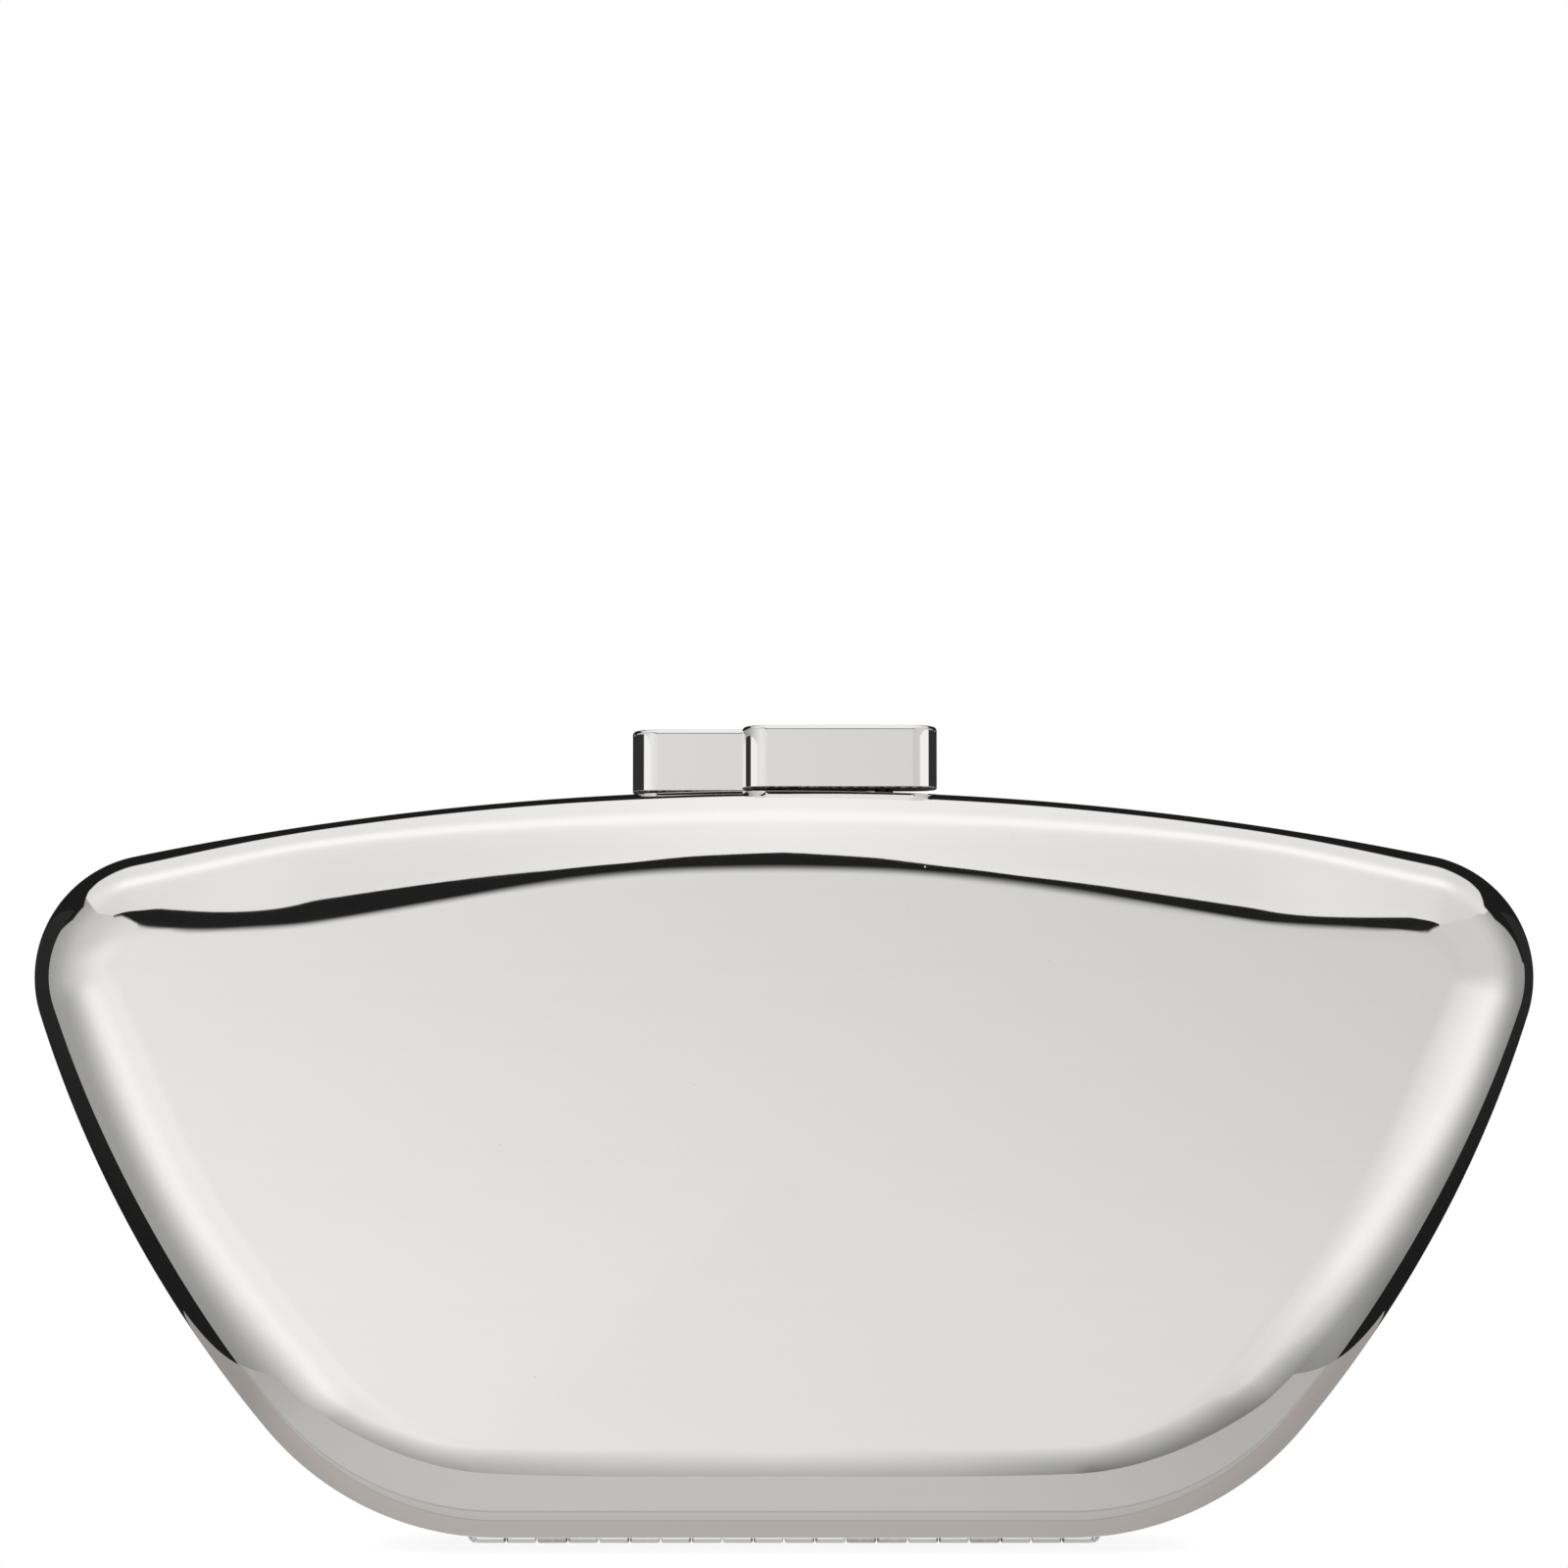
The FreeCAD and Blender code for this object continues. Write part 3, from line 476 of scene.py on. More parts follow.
def make_lining(side, turn):
    bm = bmesh.new()
    rim = draw_rim(bm, lining_inset, -lining_start)
    knee = pull(bm, rim, shell_depth - roll_radius - lining_start)
    roll_over(
        bm, knee, roll_radius - lining_inset, lining_roll_steps, lining_fade_steps, lining_inset
    )
    bmesh.ops.recalc_face_normals(bm, faces=bm.faces[:])
    bmesh.ops.solidify(bm, geom=bm.faces[:], thickness=lining_thickness)
    round_off(bm, sharp_edges(bm), lining_edge, 4)
    turn_round(bm, turn)
    lining = new_piece(f"{side}_suede_tray", bm, grey_suede)
    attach(lining, f"{side}_half")
    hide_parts(f"{side}_lining")


for_both_halves(make_lining)

# Hinge leaves. Each is a strip of sheet whose ten knuckles are rolled over from its upper side, set
# between those of the other leaf, and riveted to the bottom of its shell.
barrel_radius = 1.6 * MM
knuckle_count = 20
knuckle_pitch = 4.16 * MM
knuckle_gap = 0.15 * MM
knuckle_bore = 0.79 * MM
knuckle_edge = 0.3 * MM
leaf_thickness = 0.6 * MM
leaf_edge = 1.9 * MM
leaf_end = 6.6 * MM
tongue_edge = 0.04 * MM
strip_edge = 0.08 * MM
weld_reach = 0.0005 * MM
# Where the painted shade in the joints between knuckles starts and where it is full
joint_shade_end = 0.36 * MM
joint_shade_full = 0.2 * MM
hinge_half = knuckle_count * knuckle_pitch / 2

# Painted shade under the clasp bars and in the knuckle joints, and tarnish on some knuckles: dark and uneven
shade_and_tarnish_colour = (0.02, 0.018, 0.016, 1)
shade_and_tarnish_roughness = 0.95
shade_and_tarnish_metal = 0.3

shade_and_tarnish, given, made = new_group(
    "shade_and_tarnish",
    {"Vector": "Vector", "Share": "Float", "Colour": "Color", "Roughness": "Float", "Metal": "Float"},
    {"Colour": "Color", "Roughness": "Float", "Metal": "Float"},
)
blotch = add(shade_and_tarnish, "TexNoise", {"Vector": given["Vector"], "Scale": 1400, "Detail": 2}).outputs[0]
blotch_range = {"Value": blotch, "From Min": 0.35, "From Max": 0.6, "To Min": 0.7}
blotch = add(shade_and_tarnish, "MapRange", blotch_range).outputs[0]
blotted = {0: blotch, 1: given["Share"]}
share = add(shade_and_tarnish, "Math", blotted, operation="MULTIPLY", use_clamp=True).outputs[0]
darkened = add(shade_and_tarnish, "Mix", {0: share, 6: given["Colour"], 7: shade_and_tarnish_colour}, data_type="RGBA")
shade_and_tarnish.links.new(darkened.outputs[2], made["Colour"])
dull = add(shade_and_tarnish, "Mix", {0: share, 2: given["Roughness"], 3: shade_and_tarnish_roughness}).outputs[0]
shade_and_tarnish.links.new(dull, made["Roughness"])
bare = add(shade_and_tarnish, "Mix", {0: share, 2: given["Metal"], 3: shade_and_tarnish_metal}).outputs[0]
shade_and_tarnish.links.new(bare, made["Metal"])


def darken(material, share_of):
    """Darken a metal by a share that share_of works out from the place on it: painted shade and tarnish."""
    tree = material.node_tree
    place = add(tree, "TexCoord", {}).outputs["Object"]
    group = tree.nodes.new("ShaderNodeGroup")
    group.node_tree = shade_and_tarnish
    skin = tree.nodes["Principled BSDF"].inputs
    tree.links.new(place, group.inputs["Vector"])
    tree.links.new(share_of(tree, place), group.inputs["Share"])
    group.inputs["Metal"].default_value = 1
    for label, socket in (("Colour", "Base Color"), ("Roughness", "Roughness")):
        tree.links.new(skin[socket].links[0].from_socket, group.inputs[label])
        tree.links.new(group.outputs[label], skin[socket])
    tree.links.new(group.outputs["Metal"], skin["Metallic"])


def between_knuckles(tree, place):
    """Painted shade darkens every other joint between knuckles, and some knuckles are duller than others."""
    along = add(tree, "SeparateXYZ", {0: place}).outputs["X"]
    shifted = add(tree, "Math", {0: along, 1: knuckle_pitch}, operation="ADD").outputs[0]
    off_joint = add(tree, "Math", {0: shifted, 1: knuckle_pitch}, operation="PINGPONG").outputs[0]
    joint_shade = add(tree, "MapRange", {"Value": off_joint, "From Min": joint_shade_end, "From Max": joint_shade_full}).outputs[0]
    count = add(tree, "Math", {0: along, 1: knuckle_pitch}, operation="DIVIDE").outputs[0]
    count = add(tree, "Math", {0: count}, operation="FLOOR").outputs[0]
    draw = add(tree, "TexWhiteNoise", {"W": count}, noise_dimensions="1D").outputs["Value"]
    dull = add(tree, "MapRange", {"Value": draw, "From Min": 0.45, "From Max": 1.0, "To Max": 0.5}).outputs[0]
    return add(tree, "Math", {0: joint_shade, 1: dull}, operation="MAXIMUM").outputs[0]


hinge_silver = metal(
    "hinge_silver", buffing, colour=(0.9, 0.895, 0.885), roughness=0.11, marks=0.5, depth=0.002 * MM
)
# Painted shade in every other knuckle joint, and tarnish on some knuckles
darken(hinge_silver, between_knuckles)


def box(bm, low, high):
    """A box between two opposite corners."""
    low, high = Vector(low), Vector(high)
    corners = bmesh.ops.create_cube(bm, size=1)["verts"]
    bmesh.ops.scale(bm, vec=high - low, verts=corners)
    bmesh.ops.translate(bm, vec=(low + high) / 2, verts=corners)
    return corners


def edges_at(corners):
    """Every edge that ends at one of the corners, once."""
    return list(dict.fromkeys(edge for corner in corners for edge in corner.link_edges))


def block(bm, low, high, radius):
    """A box between two opposite corners with its edges rounded."""
    round_off(bm, edges_at(box(bm, low, high)), radius, 2)


def turned(bm, profile, centre, axis, closed=False, steps=40):
    """Turn a profile of (radius, height) pairs round an axis, as on a lathe."""
    axis = Vector(axis)
    corners = []
    for radius, height in profile:
        corners.append(bm.verts.new(Vector(centre) + axis * height + Vector((0, radius, 0))))
    edges = [bm.edges.new(pair) for pair in zip(corners, corners[1:])]
    if closed:
        edges.append(bm.edges.new((corners[-1], corners[0])))
    bmesh.ops.spin(
        bm, geom=corners + edges, cent=centre, axis=axis, angle=math.tau, steps=steps, use_merge=True
    )
    bmesh.ops.remove_doubles(bm, verts=bm.verts[:], dist=weld_reach)
    bmesh.ops.recalc_face_normals(bm, faces=bm.faces[:])


def rounded(radius, height, edge):
    """Profile points that round an outer corner off, up or down by the sign of edge."""
    depth = abs(edge)
    spots = []
    for angle in (0, 30, 60, 90):
        lean = math.radians(angle)
        spots.append((radius - depth + depth * math.cos(lean), height - edge + edge * math.sin(lean)))
    return spots


def make_hinge_leaf(side, turn):
    bm = bmesh.new()
    crown = 2 * barrel_radius
    under = crown - leaf_thickness
    spans = []
    for knuckle in range(knuckle_count // 2):
        left = 2 * knuckle * knuckle_pitch - hinge_half + knuckle_gap / 2
        spans.append((left, left + knuckle_pitch - knuckle_gap))
    for left, right in spans:
        profile = [(knuckle_bore, left), (knuckle_bore, right)]
        profile += rounded(barrel_radius, right, knuckle_edge)[::-1]
        profile += rounded(barrel_radius, left, -knuckle_edge)
        turned(bm, profile, (0, 0, barrel_radius), (1, 0, 0), closed=True)
    for left, right in spans:
        block(bm, (left, -leaf_edge - leaf_thickness, under), (right, 0, crown), tongue_edge)
    block(bm, (-hinge_half, -leaf_end, under), (hinge_half, -leaf_edge, crown), strip_edge)
    turn_round(bm, turn)
    leaf = new_piece(f"{side}_leaf", bm, hinge_silver)
    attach(leaf, f"{side}_half")
    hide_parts(f"{side}_hinge_leaf")


for_both_halves(make_hinge_leaf)

# Hinge rivets. Six in each leaf, with turned button heads inside; their shanks are filled flush with
# the shell's bottom and buffed away with it.
rivet_places = (-32.5, -19.5, -6.5, 6.5, 19.5, 32.5)
rivet_y = -4.25 * MM
rivet_radius = 0.6 * MM
rivet_head = 1.1 * MM
rivet_head_height = 0.5 * MM
rivet_round = 0.35 * MM


def make_hinge_rivets(side, turn):
    bm = bmesh.new()
    seat = 2 * barrel_radius
    in_shell = shell_under + shell_wall / 2
    for place in rivet_places:
        profile = [(0, in_shell), (rivet_radius, in_shell), (rivet_radius, seat), (rivet_head, seat)]
        profile += rounded(rivet_head, seat + rivet_head_height, rivet_round)
        profile.append((0, seat + rivet_head_height))
        turned(bm, profile, (place * MM, rivet_y, 0), (0, 0, 1))
    turn_round(bm, turn)
    rivets = new_piece(f"{side}_rivets", bm, hinge_silver)
    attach(rivets, f"{side}_half")
    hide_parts(f"{side}_hinge_rivets")


for_both_halves(make_hinge_rivets)

# Hinge pin. One wire through all the knuckles, its two ends headed over into small cones that keep it
# from sliding out.
pin_radius = 0.75 * MM
pin_head = 1 * MM
pin_cone = ((1.5, 0.3), (1.26, 0.65), (0.8, 0.97), (0.6, 1), (0, 1))

bm = bmesh.new()
head = [(pin_radius, hinge_half), (barrel_radius, hinge_half)]
head += [(radius * MM, hinge_half + share * pin_head) for radius, share in pin_cone]
other_head = [(radius, -height) for radius, height in reversed(head)]
turned(bm, other_head + head, (0, 0, barrel_radius), (1, 0, 0))
pin = new_piece("headed_pin", bm, hinge_silver)
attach(pin, "back_half")
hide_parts("hinge_pin")

# Clasp bars. Solid rounded bars, buffed like the shells, that stand on two stems each and slide past
# each other when they are pinched together.
bar_low = Vector((-5.65, -7.2, 101.5)) * MM
bar_high = Vector((20.65, -0.2, 110)) * MM
bar_corner = 3.4 * MM
bar_edge = 0.6 * MM
bar_under_edge = 0.25 * MM
bar_rim_reach = 0.1 * MM
bar_support = 0.02 * MM
bar_flat_area = 2 * MM**2
# Where the painted shade along the bar's underside edge starts and where it is full
bar_shade_end = 0.3 * MM
bar_shade_full = 0.16 * MM
stem_radius = 1.25 * MM
slide_top = 97.45 * MM


def shade_under_bar(tree, place):
    """Painted shade along the underside edge of the bar."""
    height = add(tree, "SeparateXYZ", {0: place}).outputs["Z"]
    ends = {"From Min": bar_low.z + bar_shade_end, "From Max": bar_low.z + bar_shade_full}
    return add(tree, "MapRange", {"Value": height, **ends}).outputs[0]


bar_silver = metal("bar_silver", buffing, **polish)
# Painted shade darkens the bar's underside edge
darken(bar_silver, shade_under_bar)


def make_clasp_bar(side, turn):
    bm = bmesh.new()
    box(bm, bar_low, bar_high)
    upright = [edge for edge in bm.edges if abs(edge.verts[0].co.z - edge.verts[1].co.z) > bar_edge]
    round_off(bm, upright, bar_corner, 20)
    for height, radius in ((bar_high.z, bar_edge), (bar_low.z, bar_under_edge)):
        rim = []
        for edge in bm.edges:
            if all(abs(end.co.z - height) < bar_rim_reach for end in edge.verts):
                rim.append(edge)
        round_off(bm, rim, radius, 8)
    for height in (bar_high.z - bar_edge - bar_support, bar_low.z + bar_under_edge + bar_support):
        whole = bm.verts[:] + bm.edges[:] + bm.faces[:]
        bmesh.ops.bisect_plane(bm, geom=whole, plane_co=(0, 0, height), plane_no=(0, 0, 1))
    flats = [face for face in bm.faces if face.calc_area() > bar_flat_area and len(face.verts) > 3]
    bmesh.ops.inset_individual(bm, faces=flats, thickness=bar_support, depth=0, use_even_offset=True)
    for place in stem_places:
        stem = [(0, slide_top), (stem_radius, slide_top), (stem_radius, bar_low.z), (0, bar_low.z)]
        turned(bm, stem, (place, stem_y, 0), (0, 0, 1))
    turn_round(bm, turn)
    bar = new_piece(f"{side}_bar", bm, bar_silver)
    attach(bar, f"{side}_clasp")
    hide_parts(f"{side}_clasp_bar")


for_both_halves(make_clasp_bar)

# Latch slides. Stamped brass plates under the band that join the stems. A finger at one end centres
# the spring, and a tongue at the other reaches into the other half with a nose sloped on both sides.
slide_under = 96.25 * MM
slide_outline = [
    (-0.7, -6), (15.7, -6), (15.7, 2.4), (17.3, 4), (15.7, 5.6), (12.7, 5.6), (12.7, -1.4),
    (-0.7, -1.4), (-0.7, -3.25), (-2.2, -3.25), (-2.2, -4.15), (-0.7, -4.15),
]
plate_edge = 0.12 * MM
plate_corner_from = 0.5

latch_brass = metal(
    "latch_brass", brushing, colour=(0.82, 0.66, 0.38), roughness=0.2, marks=0.3, depth=0.005 * MM
)


def plate(bm, outline, along, radius):
    """Stamp a plate: a face with the outline's corners, drawn out along a vector, its edges rounded."""
    face = bm.faces.new([bm.verts.new(corner) for corner in outline])
    drawn = bmesh.ops.extrude_face_region(bm, geom=[face])["geom"]
    bmesh.ops.translate(bm, vec=along, verts=corners_in(drawn))
    bmesh.ops.recalc_face_normals(bm, faces=bm.faces[:])
    edges = [edge for edge in bm.edges if edge.calc_face_angle(0) > plate_corner_from]
    round_off(bm, edges, radius, 2)


def make_latch_slide(side, turn):
    bm = bmesh.new()
    outline = [(x * MM, y * MM, slide_under) for x, y in slide_outline]
    plate(bm, outline, (0, 0, slide_top - slide_under), plate_edge)
    turn_round(bm, turn)
    slide = new_piece(f"{side}_latch_plate", bm, latch_brass)
    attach(slide, f"{side}_clasp")
    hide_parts(f"{side}_latch_slide")


for_both_halves(make_latch_slide)

# Slide screws. Small slotted screws, turned from steel rod, that go up through the slide into the stems
# of the bar and hold the two together.
screw_radius = 0.65 * MM
screw_head = 1.3 * MM
screw_head_height = 0.8 * MM
screw_round = 0.3 * MM
driver_width = 0.34 * MM
driver_depth = 0.36 * MM
slide_screw_length = 3.6 * MM
slide_driver_turn = 0.6

screw_steel = metal(
    "screw_steel", buffing, colour=(0.72, 0.71, 0.7), roughness=0.17, marks=0.6, depth=0.002 * MM
)


def screws(places, seat, length, driver_turn):
    """Screws turned on a lathe, heads down, each with a driver slot cut across its head."""
    bm = bmesh.new()
    tools = bmesh.new()
    under = seat - screw_head_height
    for count, place in enumerate(places):
        profile = [(0, under)] + rounded(screw_head, under, -screw_round)[::-1]
        profile += [(screw_head, seat), (screw_radius, seat)]
        profile += [(screw_radius, seat + length), (0, seat + length)]
        turned(bm, profile, (place, stem_y, 0), (0, 0, 1))
        cutter = bmesh.ops.create_cube(tools, size=1)["verts"]
        bmesh.ops.scale(tools, vec=(4 * screw_head, driver_width, 2 * driver_depth), verts=cutter)
        spin = Matrix.Rotation(driver_turn + count, 3, "Z")
        bmesh.ops.rotate(tools, verts=cutter, cent=(0, 0, 0), matrix=spin)
        bmesh.ops.translate(tools, vec=(place, stem_y, under), verts=cutter)
    cut_away(bm, tools)
    return bm


def make_slide_screws(side, turn):
    bm = screws(stem_places, slide_under, slide_screw_length, slide_driver_turn + turn)
    turn_round(bm, turn)
    piece = new_piece(f"{side}_stem_screws", bm, screw_steel)
    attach(piece, f"{side}_clasp")
    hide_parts(f"{side}_slide_screws")


for_both_halves(make_slide_screws)

# Return springs. Six turns of steel wire between the cover's tab and the slide, on the slide's finger.
# They push the bar back out, and close up as it slides in.
spring_start = -6.875 * MM
spring_end = -0.925 * MM
spring_radius = 1 * MM
spring_wire = 0.175 * MM
spring_turns = 6
spring_turn_steps = 24
spring_z = 96.85 * MM

spring_steel = metal(
    "spring_steel", buffing, colour=(0.56, 0.555, 0.55), roughness=0.2, marks=0.5, depth=0.002 * MM
)


def make_return_spring(side, turn):
    bm = bmesh.new()
    wire_start = Matrix.Translation((spring_start, stem_y + spring_radius, spring_z))
    ring = bmesh.ops.create_circle(bm, segments=10, radius=spring_wire, matrix=wire_start)["verts"]
    edges = edges_at(ring)
    bmesh.ops.contextual_create(bm, geom=edges)
    steps = spring_turns * spring_turn_steps
    wound = bmesh.ops.spin(
        bm,
        geom=ring + edges,
        cent=(spring_start, stem_y, spring_z),
        axis=(1, 0, 0),
        angle=math.tau * spring_turns,
        steps=steps,
        dvec=((spring_end - spring_start) / steps, 0, 0),
    )["geom_last"]
    bmesh.ops.contextual_create(bm, geom=edges_in(wound))
    bmesh.ops.recalc_face_normals(bm, faces=bm.faces[:])
    turn_round(bm, turn)
    spring = new_piece(f"{side}_coil", bm, spring_steel)
    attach(spring, f"{side}_half")
    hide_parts(f"{side}_return_spring")
    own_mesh(spring)


for_both_halves(make_return_spring)

# Keepers. Brass blocks soldered under the band, sloped on both sides, that the other half's nose snaps
# behind.
keeper_under = 96.05 * MM
keeper_top = 97.88 * MM
keeper_outline = [(-16.1, -2.517), (-17.7, -0.917), (-19.5, -0.917), (-19.5, -4.117), (-17.7, -4.117)]


def make_keeper(side, turn):
    bm = bmesh.new()
    outline = [(x * MM, y * MM, keeper_under) for x, y in keeper_outline]
    plate(bm, outline, (0, 0, keeper_top - keeper_under), plate_edge)
    turn_round(bm, turn)
    keeper = new_piece(f"{side}_catch", bm, latch_brass)
    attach(keeper, f"{side}_half")
    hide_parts(f"{side}_keeper")


for_both_halves(make_keeper)

# Latch covers. Folded strips of the band's metal that hide the slides: a floor, two legs and two feet
# screwed to the band, with a tab bent up from the floor for the spring to push on.
cover_half = [(21.5, 95.2), (21.5, 97.51), (26.4, 97.51), (26.4, 97.01), (22, 97.01), (22, 94.7)]
cover_front = -0.4 * MM
cover_depth = 6.4 * MM
cover_edge = 0.06 * MM
tab_edge = 0.08 * MM
tab_low = Vector((-7.6, -5.3, 94.95)) * MM
tab_high = Vector((-7.1, -2.1, 97.45)) * MM


def make_latch_cover(side, turn):
    bm = bmesh.new()
    section = cover_half + [(-x, z) for x, z in reversed(cover_half)]
    plate(bm, [(x * MM, cover_front, z * MM) for x, z in section], (0, -cover_depth, 0), cover_edge)
    block(bm, tab_low, tab_high, tab_edge)
    turn_round(bm, turn)
    cover = new_piece(f"{side}_latch_guard", bm, satin_silver)
    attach(cover, f"{side}_half")
    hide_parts(f"{side}_latch_cover")


for_both_halves(make_latch_cover)

# Cover screws. One in each foot of the cover, driven up into the band. They are the same turned steel
# screws as in the slides, only shorter.
cover_screw_places = (-24.2 * MM, 24.2 * MM)
cover_seat = 97.01 * MM
cover_screw_length = 1.9 * MM
cover_driver_turn = 1.1


def make_cover_screws(side, turn):
    bm = screws(cover_screw_places, cover_seat, cover_screw_length, cover_driver_turn + turn)
    turn_round(bm, turn)
    piece = new_piece(f"{side}_guard_screws", bm, screw_steel)
    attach(piece, f"{side}_half")
    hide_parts(f"{side}_cover_screws")


for_both_halves(make_cover_screws)

# Plinth. The pale board that the case stands on, a little narrower in front. To the metal above it
# the board glows with painted tones: a grey front strip, two thin dark lines, a darker and warmer
# middle of painted shade under the case, a painted bright strip under the hinge and painted shade
# towards both ends. To the camera it is white with a soft shadow.
plinth_side = [(45, -35.2), (98, -38.5), (134.6, 60), (134.6, 260)]
plinth_start = -40
plinth_end = 10
# Tones from front to back; the darker, warmer ones from -16.4 mm back are painted shade under the case
plinth_bands_and_shade = [
    (-37, (0.56, 0.55, 0.54)), (-19.7, (0.56, 0.55, 0.54)), (-19.5, (0.42, 0.41, 0.4)),
    (-19.2, (0.42, 0.41, 0.4)), (-19, (0.52, 0.51, 0.5)), (-16.9, (0.5, 0.48, 0.47)),
    (-16.8, (0.4, 0.38, 0.37)), (-16.6, (0.4, 0.38, 0.37)), (-16.4, (0.47, 0.435, 0.42)),
    (-6.2, (0.45, 0.415, 0.4)), (5, (0.42, 0.4, 0.39)),
]
# Painted shade: the board's tones darken towards both ends
plinth_end_shade = ((0.76, 0.76, 0.76, 1), (0.82, 0.81, 0.81, 1))
plinth_shades = ((0.08, 0.9), (0.2, 0.97), (0.35, 1.0), (0.62, 0.98), (0.75, 0.9), (0.85, 0.84))
# A painted bright strip on the board under the hinge, which reflections show
gleam_front = (-6, -5)
gleam_side = (44, 41.5)
gleam_step = (-1.5, -1.2)
gleam_near = 0.95
gleam_far = 0.56
plinth_shade_half = 100
shadow_reach = 5 * MM
shadow_depth = 0.93


def by_place(tree, source, low, high, start=0.0, end=1.0):
    """Go from start to end while the source goes from low to high, in millimetres."""
    span = {"Value": source, "From Min": low * MM, "From Max": high * MM, "To Min": start, "To Max": end}
    return add(tree, "MapRange", span).outputs[0]


pale_board = bpy.data.materials.new("pale_board")
pale_board.use_nodes = True
tree = pale_board.node_tree
place = add(tree, "TexCoord", {}).outputs["Object"]
x_in, y_in = add(tree, "SeparateXYZ", {0: place}).outputs[:2]
where = by_place(tree, y_in, plinth_start, plinth_end)
bands = add(tree, "ValToRGB", {"Fac": where})
for spot, tone in plinth_bands_and_shade:
    stop = bands.color_ramp.elements.new((spot - plinth_start) / (plinth_end - plinth_start))
    stop.color = (*tone, 1)
bands.color_ramp.elements.remove(bands.color_ramp.elements[0])
bands.color_ramp.elements.remove(bands.color_ramp.elements[-1])
off_middle = add(tree, "Math", {0: x_in}, operation="ABSOLUTE").outputs[0]
# Painted bright strip under the hinge
below = by_place(tree, off_middle, *gleam_side)
painted_gleam = by_place(tree, y_in, *gleam_front)
painted_gleam = add(tree, "Math", {0: painted_gleam, 1: below}, operation="MULTIPLY").outputs[0]
far = by_place(tree, y_in, *gleam_step, gleam_near, gleam_far)
# Painted shade towards both ends of the board
along = by_place(tree, x_in, -plinth_shade_half, plinth_shade_half)
edges = add(tree, "ValToRGB", {"Fac": along})
for stop, tone in zip(edges.color_ramp.elements, plinth_end_shade):
    stop.color = tone
for spot, shade in plinth_shades:
    edges.color_ramp.elements.new(spot).color = (shade, shade, shade, 1)
tone = shaded(tree, 1.0, bands.outputs["Color"], edges.outputs["Color"])
tone = add(tree, "Mix", {0: painted_gleam, 6: tone, 7: far}, data_type="RGBA").outputs[2]
# Reflections see the board glow with these painted tones, shade and bright strip
mirrored = add(tree, "Emission", {"Color": tone}).outputs[0]
closeness = add(tree, "AmbientOcclusion", {"Distance": shadow_reach}, samples=16).outputs["AO"]
shadow = add(tree, "MapRange", {"Value": closeness, "From Min": 0.2, "To Min": shadow_depth}).outputs[0]
seen = add(tree, "BsdfTransparent", {"Color": shadow}).outputs[0]
ray = add(tree, "LightPath", {}).outputs
both = add(tree, "MixShader", {0: ray["Is Glossy Ray"], 1: seen, 2: mirrored}).outputs[0]
tree.links.new(both, tree.nodes["Material Output"].inputs["Surface"])

bm = bmesh.new()
other_side = [(-x, y) for x, y in reversed(plinth_side)]
bm.faces.new([bm.verts.new((x * MM, y * MM, 0)) for x, y in plinth_side + other_side])
plinth = new_piece("plinth", bm, pale_board)

# Flags. Two black cards stand on the plinth's side edges and draw the dark line along each side of the
# metal, and a small white and a small black one each side draw the ends of the clasp bars. Only
# reflections show them. They glow instead of being lit: the white cards with painted light, the black
# ones faintly, the flags with painted spill light that grows towards the top.
flag_height = 94
left_flag_feet = [(-106.3, -15), (-134.6, 60), (-134.6, 260)]
right_flag_feet = [(109, -10), (134.6, 60), (134.6, 260)]
spill_heights = (30, 100)
spill_levels = (0.012, 0.025)
end_card_x = 45
end_card_low = 102
end_card_high = 112
white_card_y = (-46, -11)
black_card_y = (-11, 60)
white_card_level = 0.92
black_card_level = 0.03
edge_on_start = 0.4
edge_on_end = 0.55


def only_mirrored(name, bm, material):
    """Stage a card that only reflections show."""
    card = new_piece(name, bm, material)
    card.visible_camera = False
    card.visible_diffuse = False
    card.visible_shadow = False
    card.visible_transmission = False


def stand(feet, low, high):
    """A card that stands on a line of points."""
    bm = bmesh.new()
    corners = [bm.verts.new((x * MM, y * MM, low * MM)) for x, y in feet]
    edges = [bm.edges.new(pair) for pair in zip(corners, corners[1:])]
    raised = bmesh.ops.extrude_edge_only(bm, edges=edges)["geom"]
    bmesh.ops.translate(bm, vec=(0, 0, (high - low) * MM), verts=corners_in(raised))
    return bm


black_card = bpy.data.materials.new("black_card")
black_card.use_nodes = True
tree = black_card.node_tree
place = add(tree, "TexCoord", {}).outputs["Object"]
height = add(tree, "SeparateXYZ", {0: place}).outputs["Z"]
# Painted spill light: the flags glow a little more towards the top
spill = by_place(tree, height, *spill_heights, *spill_levels)
card = add(tree, "Emission", {"Strength": spill}).outputs[0]
tree.links.new(card, tree.nodes["Material Output"].inputs["Surface"])

only_mirrored("left_flag", stand(left_flag_feet, 0, flag_height), black_card)
only_mirrored("right_flag", stand(right_flag_feet, 0, flag_height), black_card)


def end_card(name, strength):
    """Card for the ends of the clasp bars. Edge on it vanishes, so the shell below doesn't show it."""
    material = bpy.data.materials.new(name)
    material.use_nodes = True
    tree = material.node_tree
    aslant = add(tree, "LayerWeight", {}).outputs["Facing"]
    fade = {"Value": aslant, "From Min": edge_on_start, "From Max": edge_on_end}
    edge_on = add(tree, "MapRange", fade).outputs[0]
    # The card glows with painted light at the given strength
    face = add(tree, "Emission", {"Strength": strength}).outputs[0]
    unseen = add(tree, "BsdfTransparent", {}).outputs[0]
    card = add(tree, "MixShader", {0: edge_on, 1: face, 2: unseen}).outputs[0]
    tree.links.new(card, tree.nodes["Material Output"].inputs["Surface"])
    return material


